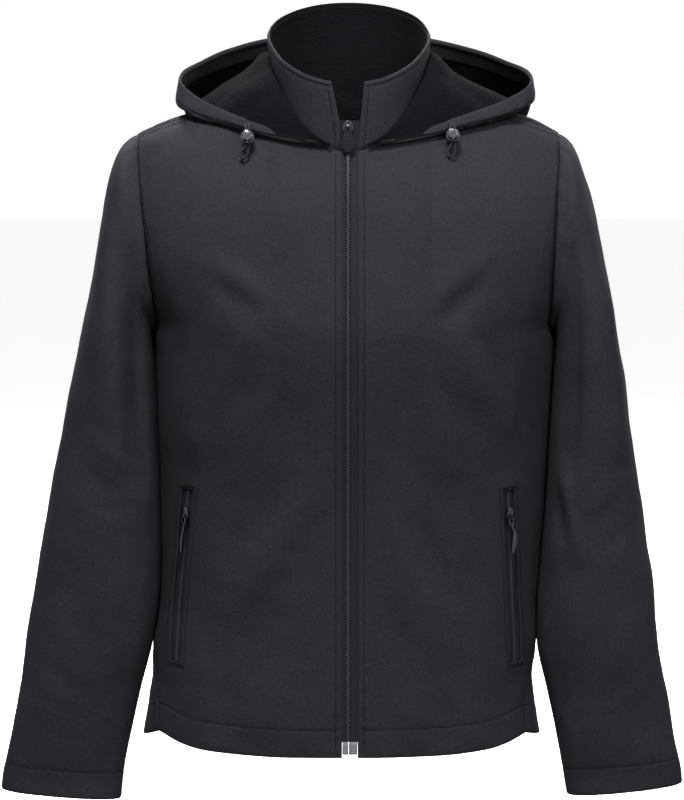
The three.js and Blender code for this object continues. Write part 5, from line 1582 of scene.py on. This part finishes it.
class SOFTSHELL_OT_hood(bpy.types.Operator):
    """The hood, let down behind the neck, with its gathered cloth and drawcord casing"""
    bl_idname = "softshell.hood"
    bl_label = "Hood"

    def execute(self, context):
        degrees = np.concatenate([[13, 13.4, 14], np.linspace(15, 180, 92)])
        right, left = (hood_grid(side, degrees) for side in (-1, 1))
        points, s, casing_way = (
            np.concatenate([a, b[:, ::-1][:, 1:]], axis=1) for a, b in zip(right, left))
        round_it = np.concatenate([degrees, 360 - degrees[::-1][1:]])
        normals = grid_normals(points, -1)
        d = np.minimum(round_it, 360 - round_it)[None, :]
        way, way_all = grid_way(points, 0)
        rim_way = way_all - way
        # Flat and thin where the layers lie close together, at the hood's front ends
        open_part = smooth(d, 38, 78)
        hold = smooth(s, 0.8, 2.2) * open_part * smooth(rim_way, 0, 26)
        lift = 0.9 * slack(points, 71) * hold
        for k, (at, wide, height, start, end) in enumerate(HOOD_PLEATS):
            for sense, mirrored in ((1, at), (-1, 360 - at + (k % 3) * 2.1)):
                window = np.sin(np.pi * np.clip((s - start) / (end - start), 0, 1)) ** 0.8
                bent = mirrored + sense * 2.2 * np.sin(s * 0.9 + k)
                strength = height * (1 if sense > 0 else 0.8 + 0.1 * (k % 4)) * open_part
                lift = lift - strength * window * np.exp(-((round_it[None, :] - bent) / wide) ** 2)
        lift = lift - 0.7 * np.exp(-(rim_way / 1.2) ** 2)
        lift = lift + pucker(casing_way - HOOD_CASING, round_it[None, :] * 2.4, 73)
        points = points + normals * lift[..., None]
        casing = smooth(-casing_way, -HOOD_CASING, 3 - HOOD_CASING)
        bead = 1.3 * np.exp(-((rim_way - 3.2) / 2.6) ** 2)
        thick = CLOTH + (0.5 * casing + bead) * open_part - 0.4 * (1 - open_part)
        thick = thick * (1 - 0.55 * np.exp(-(rim_way / 1.0) ** 2))
        places, quads, layers, uvs = wall(points, normals, thick)
        rows, columns = points.shape[:2]
        # The casing turns in over the edge, in the outer cloth, down to its stitch line
        in_casing = casing_way.ravel()[quads % (rows * columns)].max(axis=1) < HOOD_CASING
        finish_of = np.where((layers == 1) & ~in_casing, 1, 0)
        made = piece("shell_hood", mesh_of("hood", places, quads, uvs, finish_of),
                     [finish("shell"), finish("fleece")], ["hood"])
        row = int(np.argmin(np.abs(casing_way[:, 0] - HOOD_CASING)))
        line, out = points[row, 4:-4], normals[row, 4:-4]
        sew("stitching_hood", [(line, out), (line - out * 4, -out)], made)
        return {"FINISHED"}


def hood_grid(side, degrees):
    """Half the hood in even steps from neck to edge: places, shares, and casing depth at each."""
    shares = np.linspace(0, 8, 420)
    sections = hood_sections(side, degrees, shares)
    way, _ = grid_way(sections, 0)
    to_rim = np.concatenate([np.linspace(1, 0.06, 30), [0.03, 0.012, 0]])
    columns = []
    for k in range(len(degrees)):
        whole = way[-1, k]
        # The casing narrows where the hood's sides run out at the collar
        casing = min(24, 0.55 * whole)
        at = np.concatenate([np.linspace(0, whole - casing, 91)[:-1], whole - casing * to_rim])
        place = np.stack([np.interp(at, way[:, k], sections[:, k, c]) for c in range(3)], -1)
        columns.append((place, np.interp(at, way[:, k], shares), (whole - at) * 24 / casing))
    return tuple(np.stack([column[part] for column in columns], axis=1) for part in range(3))


def tooth(width, deep, high, rounding):
    """A moulded tooth: across the zip, along it and out of it, centred on its row."""
    half = [(-0.5, 0.34), (-0.15, 0.34), (0.1, 0.5), (0.5, 0.42)]
    outline = [(x * width, y * high) for x, y in half] + [(x * width, -y * high) for x, y in half[::-1]]
    middle = np.mean(outline, axis=0)
    places = []
    for inset, depth in ((0.9, -1), (1, -0.8), (1, -rounding), (0.92, -rounding * 0.35), (0.7, 0)):
        places += [(*(middle + (np.array(p) - middle) * inset), depth * deep) for p in outline]
    return np.array(places), stacked_faces(len(outline), 5)


def teeth(path, out, pitch, width, deep, high, overlap):
    """Two rows of teeth that mesh along a path."""
    parts = []
    for sense in (-1, 1):
        places, at = evenly(path, pitch)
        shift = 0 if sense < 0 else 0.5
        at = np.interp(np.arange(len(at) - 1) + shift, np.arange(len(at)), at)
        places = between(path, at)
        facing = unit(between(out, at))
        way = unit(np.gradient(places, axis=0))
        across = unit(np.cross(way, facing)) * -sense
        origins = places - across * (width / 2 - overlap)
        parts.append(copies(tooth(width, deep, high, 0.4), origins, across, way, facing))
    return joined(parts)


PULL_WINDOW = [(-1.6, -4.6), (1.6, -4.6), (1.6, -0.65), (-1.6, -0.65)]
PULLS = {
    "zip": ((0.65, 0, 3.4), (-4, 0, 3.4), (-8, 0, 4.6), (-14, 0, 6.3), (-18, 0, 6.2), (-21, 0, 4.8),
            (-24, 0, 2.6)),
    "right": ((0.65, 0, 3), (-5.4, 0, 3), (-8, 0, 1.6), (-14, -1, 1.6), (-20, -3.5, 2.4), (-28, -4.5, 2.4),
              (-36, -4, 1.2)),
    "left": ((0.65, 0, 3), (-5.4, 0, 3), (-8, 1, 1.6), (-14, 4, 1.8), (-18, 4.5, 2.4), (-26, 3.5, 2.4),
             (-35, 2, 1.2)),
}
SLIDERS = {
    "front": {"width": 9.5, "height": 11, "back": -5, "front": 1.4, "bridge": -0.5},
    "pocket": {"width": 8, "height": 15, "back": -0.7, "front": 1.9, "bridge": -3.5},
}


def pull_shape(rows, ribs):
    """A pull: tab with a window for the slider's bridge, and grip ribs moulded across it."""
    rows = np.array(rows, float)[::-1]
    down = np.linspace(rows[0, 0], rows[-1, 0], 46)
    middle = through(rows[:, 0], rows[:, 1], down)
    half = through(rows[:, 0], rows[:, 2], down)
    half[0] *= 0.6
    half[1] *= 0.86
    half[-1] -= 0.25
    edge = list(zip(middle - half, down)) + list(zip(middle + half, down))[::-1]
    parts = [plate([edge, PULL_WINDOW], -0.8, 0.8, 0.28)]
    for y in ribs:
        m = float(np.interp(y, down, middle))
        h = float(np.interp(y, down, half)) - 0.9
        bar = [(m - h, y - 0.35), (m + h, y - 0.35), (m + h, y + 0.35), (m - h, y + 0.35)]
        parts.append(plate([bar], -1.0, 1.0, 0.18))
    return joined(parts)


def slider_outline(width, height):
    half = [(0.42, -0.5), (0.5, -0.36), (0.5, 0.12), (0.32, 0.42), (0.2, 0.5)]
    points = np.array([(x * width, y * height) for x, y in half])
    rounded = catmull(points, np.linspace(0, 4, 21))
    return [tuple(p) for p in rounded] + [(-x, y) for x, y in rounded[::-1]]


def bridge_shape(middle, foot):
    """The arched strap on a slider that holds its pull."""
    a = np.linspace(0, math.pi, 17)
    outer = [(middle + 3.5 * math.cos(t), foot + 3.6 * math.sin(t)) for t in a]
    inner = [(middle + 2.5 * math.cos(t), foot + 2.6 * math.sin(t)) for t in a[::-1]]
    right_out, left_out, left_in, right_in = (
        (middle + out, foot - 0.3) for out in (3.5, -3.5, -2.5, 2.5))
    outline = [right_out] + outer + [left_out, left_in] + inner + [right_in]
    places, faces = plate([outline], -0.9, 0.9, 0.25)
    # Drawn in the plane of y and z, then its depth turned to x
    return places[:, [2, 0, 1]], faces


def front_frame():
    z = np.array([-40.0, -38.0, -42.0])
    places, _ = on_front(ZIP_X + 0 * z, z, 0)
    return places[0], np.array([1.0, 0, 0]), places[1] - places[2]


def pocket_frame(side):
    p = POCKETS[side]

    def at(dx, height):
        t = (height - p["top"][1]) / (p["foot"][1] - p["top"][1])
        x = np.array(mix(p["top"][0], p["foot"][0], t) + dx)
        return off_body(side, x, np.array(float(height)), np.array(0.0))[0]

    return at(0, -417), at(3, -417) - at(-3, -417), at(0, -411) - at(0, -423)


def pull_frame(frame_at, slider):
    origin, across, along = frame_at
    x = unit(across)
    out = unit(np.cross(x, along))
    up = np.cross(out, x)
    hang = unit(np.array([0, 0, 1]) - x * x[2])
    return origin + up * slider["bridge"] + out * (slider["front"] + 1.25), x, hang


class SOFTSHELL_OT_front_zip(bpy.types.Operator):
    """The front zip: woven tapes, moulded teeth, slider, pull, pin and box"""
    bl_idname = "softshell.front_zip"
    bl_label = "Front zip"

    def execute(self, context):
        for side in (-1, 1):
            z = np.linspace(-633.7, -34.6, 300)[:, None]
            edge = mix(20, 11, smooth(z, -80, -62))
            start = ZIP_X + side * 0.4
            t = np.linspace(0, 1, 12)[None, :]
            x = mix(start, side * edge, t)
            points, _ = on_front(x, z + 0 * x, TAPE_SUNK)
            # Outward is forward on both sides of the zip
            normals = grid_normals(points, 1)
            normals = np.where(normals[..., 1:2] > 0, -normals, normals)
            places, quads, _, uvs = wall(points, normals, 0.9)
            name = f"zip_tape_{side_name(side)}"
            piece(f"woven_{name}", mesh_of(name, places, quads, uvs), [finish("tape")], [name])
        z = np.linspace(-632.5, -47, 600)
        path, out = on_front(ZIP_X + 0 * z, z, -0.3)
        shape = teeth(path, out, sizes().tooth_pitch / MM, 3.5, 3.0, 1.9, 1.0)
        piece("zip_teeth", mesh_of("zip_teeth", *shape), [finish("teeth")], ["zip_chain"])

        origin, across, along = front_frame()
        slider = SLIDERS["front"]
        outline = slider_outline(slider["width"], slider["height"])
        nose = [(-1.6, 2.6), (1.6, 2.6), (1.2, 5.2), (-1.2, 5.2)]
        shape = joined([
            plate([outline], 0, slider["front"], 0.45), plate([outline], slider["back"], -3.9, 0.4),
            plate([nose], -4.2, 0.4, 0.2), bridge_shape(slider["bridge"], slider["front"]),
        ])
        piece("front_slider", mesh_of("front_slider", *in_frame(shape, origin, across, along), sharp=50),
              [finish("dark_metal")], ["zip_slider"])
        shape = in_frame(pull_shape(PULLS["zip"], (-8.5, -11, -13.5, -16, -18.5)),
                         *pull_frame((origin, across, along), slider))
        piece("front_pull", mesh_of("front_pull", *shape, sharp=50), [finish("rubber")],
              ["zip_pull"], "zip_pull")

        # Pin and box at the zip's foot, each a stamped block with a pressed groove
        for name, x0, x1 in (("zip_pin", -6.6, -0.9), ("zip_retainer", -0.5, 7.9)):
            middle = (x0 + x1) / 2
            wide = (x1 - x0) / 2
            z = np.array([-639.75, -635.0, -644.5])
            places, _ = on_front(middle + 0 * z, z, 0)
            block, rim, top = (
                plate([[(-half, low), (half, low), (half, high), (-half, high)]], *depth)
                for half, low, high, depth in (
                    (wide, -5.75, 5.75, (-4, 0.4, 0.6)), (wide - 0.9, -4.6, -3.4, (0.2, 0.6, 0.15)),
                    (wide - 0.9, 2.6, 4.4, (0.2, 0.6, 0.15))))
            shape = in_frame(joined([block, rim, top]), places[0], (1, 0, 0), places[1] - places[2])
            piece(f"bright_{name}", mesh_of(name, *shape, sharp=50), [finish("bright_metal")],
                  [name])
        return {"FINISHED"}


class SOFTSHELL_OT_pocket_zips(bpy.types.Operator):
    """The two pocket zips: tapes, teeth, sliders and shaped pulls"""
    bl_idname = "softshell.pocket_zips"
    bl_label = "Pocket zips"

    def execute(self, context):
        for side in (-1, 1):
            name = side_name(side)
            along, across = np.meshgrid(
                np.linspace(-90, 90, 120), np.linspace(-9.5, 9.5, 16), indexing="ij")
            points, normals = pocket_places(side, across, along, TAPE_SUNK + 0 * along)
            places, quads, _, uvs = wall(points, normals, 0.8)
            piece(f"woven_pocket_tape_{name}", mesh_of("pocket_tape", places, quads, uvs),
                  [finish("tape")], [f"pocket_tape_{name}"])
            along = np.linspace(-84.5, 84.5, 300)
            path, out = pocket_places(side, 0 * along, along, 0 * along - 0.6)
            shape = teeth(path, out, sizes().pocket_tooth_pitch / MM, 2.6, 1.4, 1.5, 0.6)
            piece(f"pocket_teeth_{name}", mesh_of("pocket_teeth", *shape), [finish("teeth")],
                  [f"pocket_chain_{name}"])
            slider = SLIDERS["pocket"]
            frame_at = pocket_frame(side)
            outline = slider_outline(slider["width"], slider["height"])
            shape = in_frame(joined([
                plate([outline], slider["back"], slider["front"], 0.6),
                bridge_shape(slider["bridge"], slider["front"]),
            ]), *frame_at)
            piece(f"pocket_runner_{name}", mesh_of("pocket_runner", *shape, sharp=50),
                  [finish("dark_metal")], [f"pocket_slider_{name}"])
            shape = pull_shape(PULLS[name], (-21, -24, -27, -30))
            shape = in_frame(shape, *pull_frame(frame_at, slider))
            piece(f"pocket_tab_{name}", mesh_of("pocket_tab", *shape, sharp=50),
                  [finish("dark_metal")], [f"pocket_pull_{name}"], f"pocket_pull_{name}")
        return {"FINISHED"}


def circle(radius, count=48):
    return [(radius * math.cos(2 * math.pi * k / count), radius * math.sin(2 * math.pi * k / count))
            for k in range(count)]


class SOFTSHELL_OT_cord_locks(bpy.types.Operator):
    """The sprung cord locks at the hood's ends, barrel and button"""
    bl_idname = "softshell.cord_locks"
    bl_label = "Cord locks"

    def execute(self, context):
        up, _ = lock_directions()
        for name, lock in LOCKS.items():
            stand = np.array(lock["at"], float), (1, 0, 0), up
            barrel = in_frame(joined([
                plate([circle(LOCK_RADIUS)], 0, 2.6, 0.7),
                plate([circle(LOCK_RADIUS), circle(4.9)], 2.2, 13, 0.5),
            ]), *stand)
            made = piece(f"lock_barrel_{name}", mesh_of("lock_barrel", *barrel, sharp=50),
                         [finish("lock")], [f"cord_lock_{name}"])
            button = in_frame(joined([
                plate([circle(4.6)], 5.9, 16.2, 0.9),
                plate([circle(3.2), circle(2.5)], 16.0, 16.4, 0.12),
            ]), *stand)
            knob = piece(f"lock_knob_{name}", mesh_of("lock_knob", *button, sharp=50),
                         [finish("lock")], [f"lock_button_{name}"], f"lock_button_{name}")
            # Slots that the cord's two strands run through
            slot = [(-3.3, -9), (3.3, -9), (3.3, 9), (-3.3, 9)]
            for cut, low, high in ((made, 7.4, 10.6), (knob, 7.4, 13.5)):
                carve(cut, mesh_of("slot", *in_frame(plate([slot], low, high, 0.05), *stand)))
        return {"FINISHED"}


class SOFTSHELL_PT_panel(bpy.types.Panel):
    bl_idname = "SOFTSHELL_PT_panel"
    bl_label = "Softshell jacket"
    bl_space_type = "VIEW_3D"
    bl_region_type = "UI"
    bl_category = "Softshell"

    def draw(self, context):
        for group in (context.scene.softshell_sizes, context.scene.softshell_colours):
            for name in group.__annotations__:
                self.layout.prop(group, name)
        for operator in OPERATORS:
            self.layout.operator(operator.bl_idname)


OPERATORS = (
    SOFTSHELL_OT_stage, SOFTSHELL_OT_cords, SOFTSHELL_OT_fronts, SOFTSHELL_OT_back, SOFTSHELL_OT_sleeves,
    SOFTSHELL_OT_collar, SOFTSHELL_OT_hood, SOFTSHELL_OT_front_zip, SOFTSHELL_OT_pocket_zips,
    SOFTSHELL_OT_cord_locks,
)
CLASSES = (SoftshellSizes, SoftshellColours, *OPERATORS, SOFTSHELL_PT_panel)


def register():
    for made in CLASSES:
        bpy.utils.register_class(made)
    bpy.types.Scene.softshell_sizes = PointerProperty(type=SoftshellSizes)
    bpy.types.Scene.softshell_colours = PointerProperty(type=SoftshellColours)


def unregister():
    del bpy.types.Scene.softshell_colours
    del bpy.types.Scene.softshell_sizes
    for made in reversed(CLASSES):
        bpy.utils.unregister_class(made)


def main():
    register()
    bpy.ops.softshell.stage()
    bpy.ops.softshell.cords()
    bpy.ops.softshell.fronts()
    bpy.ops.softshell.back()
    bpy.ops.softshell.sleeves()
    bpy.ops.softshell.collar()
    bpy.ops.softshell.hood()
    bpy.ops.softshell.front_zip()
    bpy.ops.softshell.pocket_zips()
    bpy.ops.softshell.cord_locks()


if __name__ == "__main__":
    main()
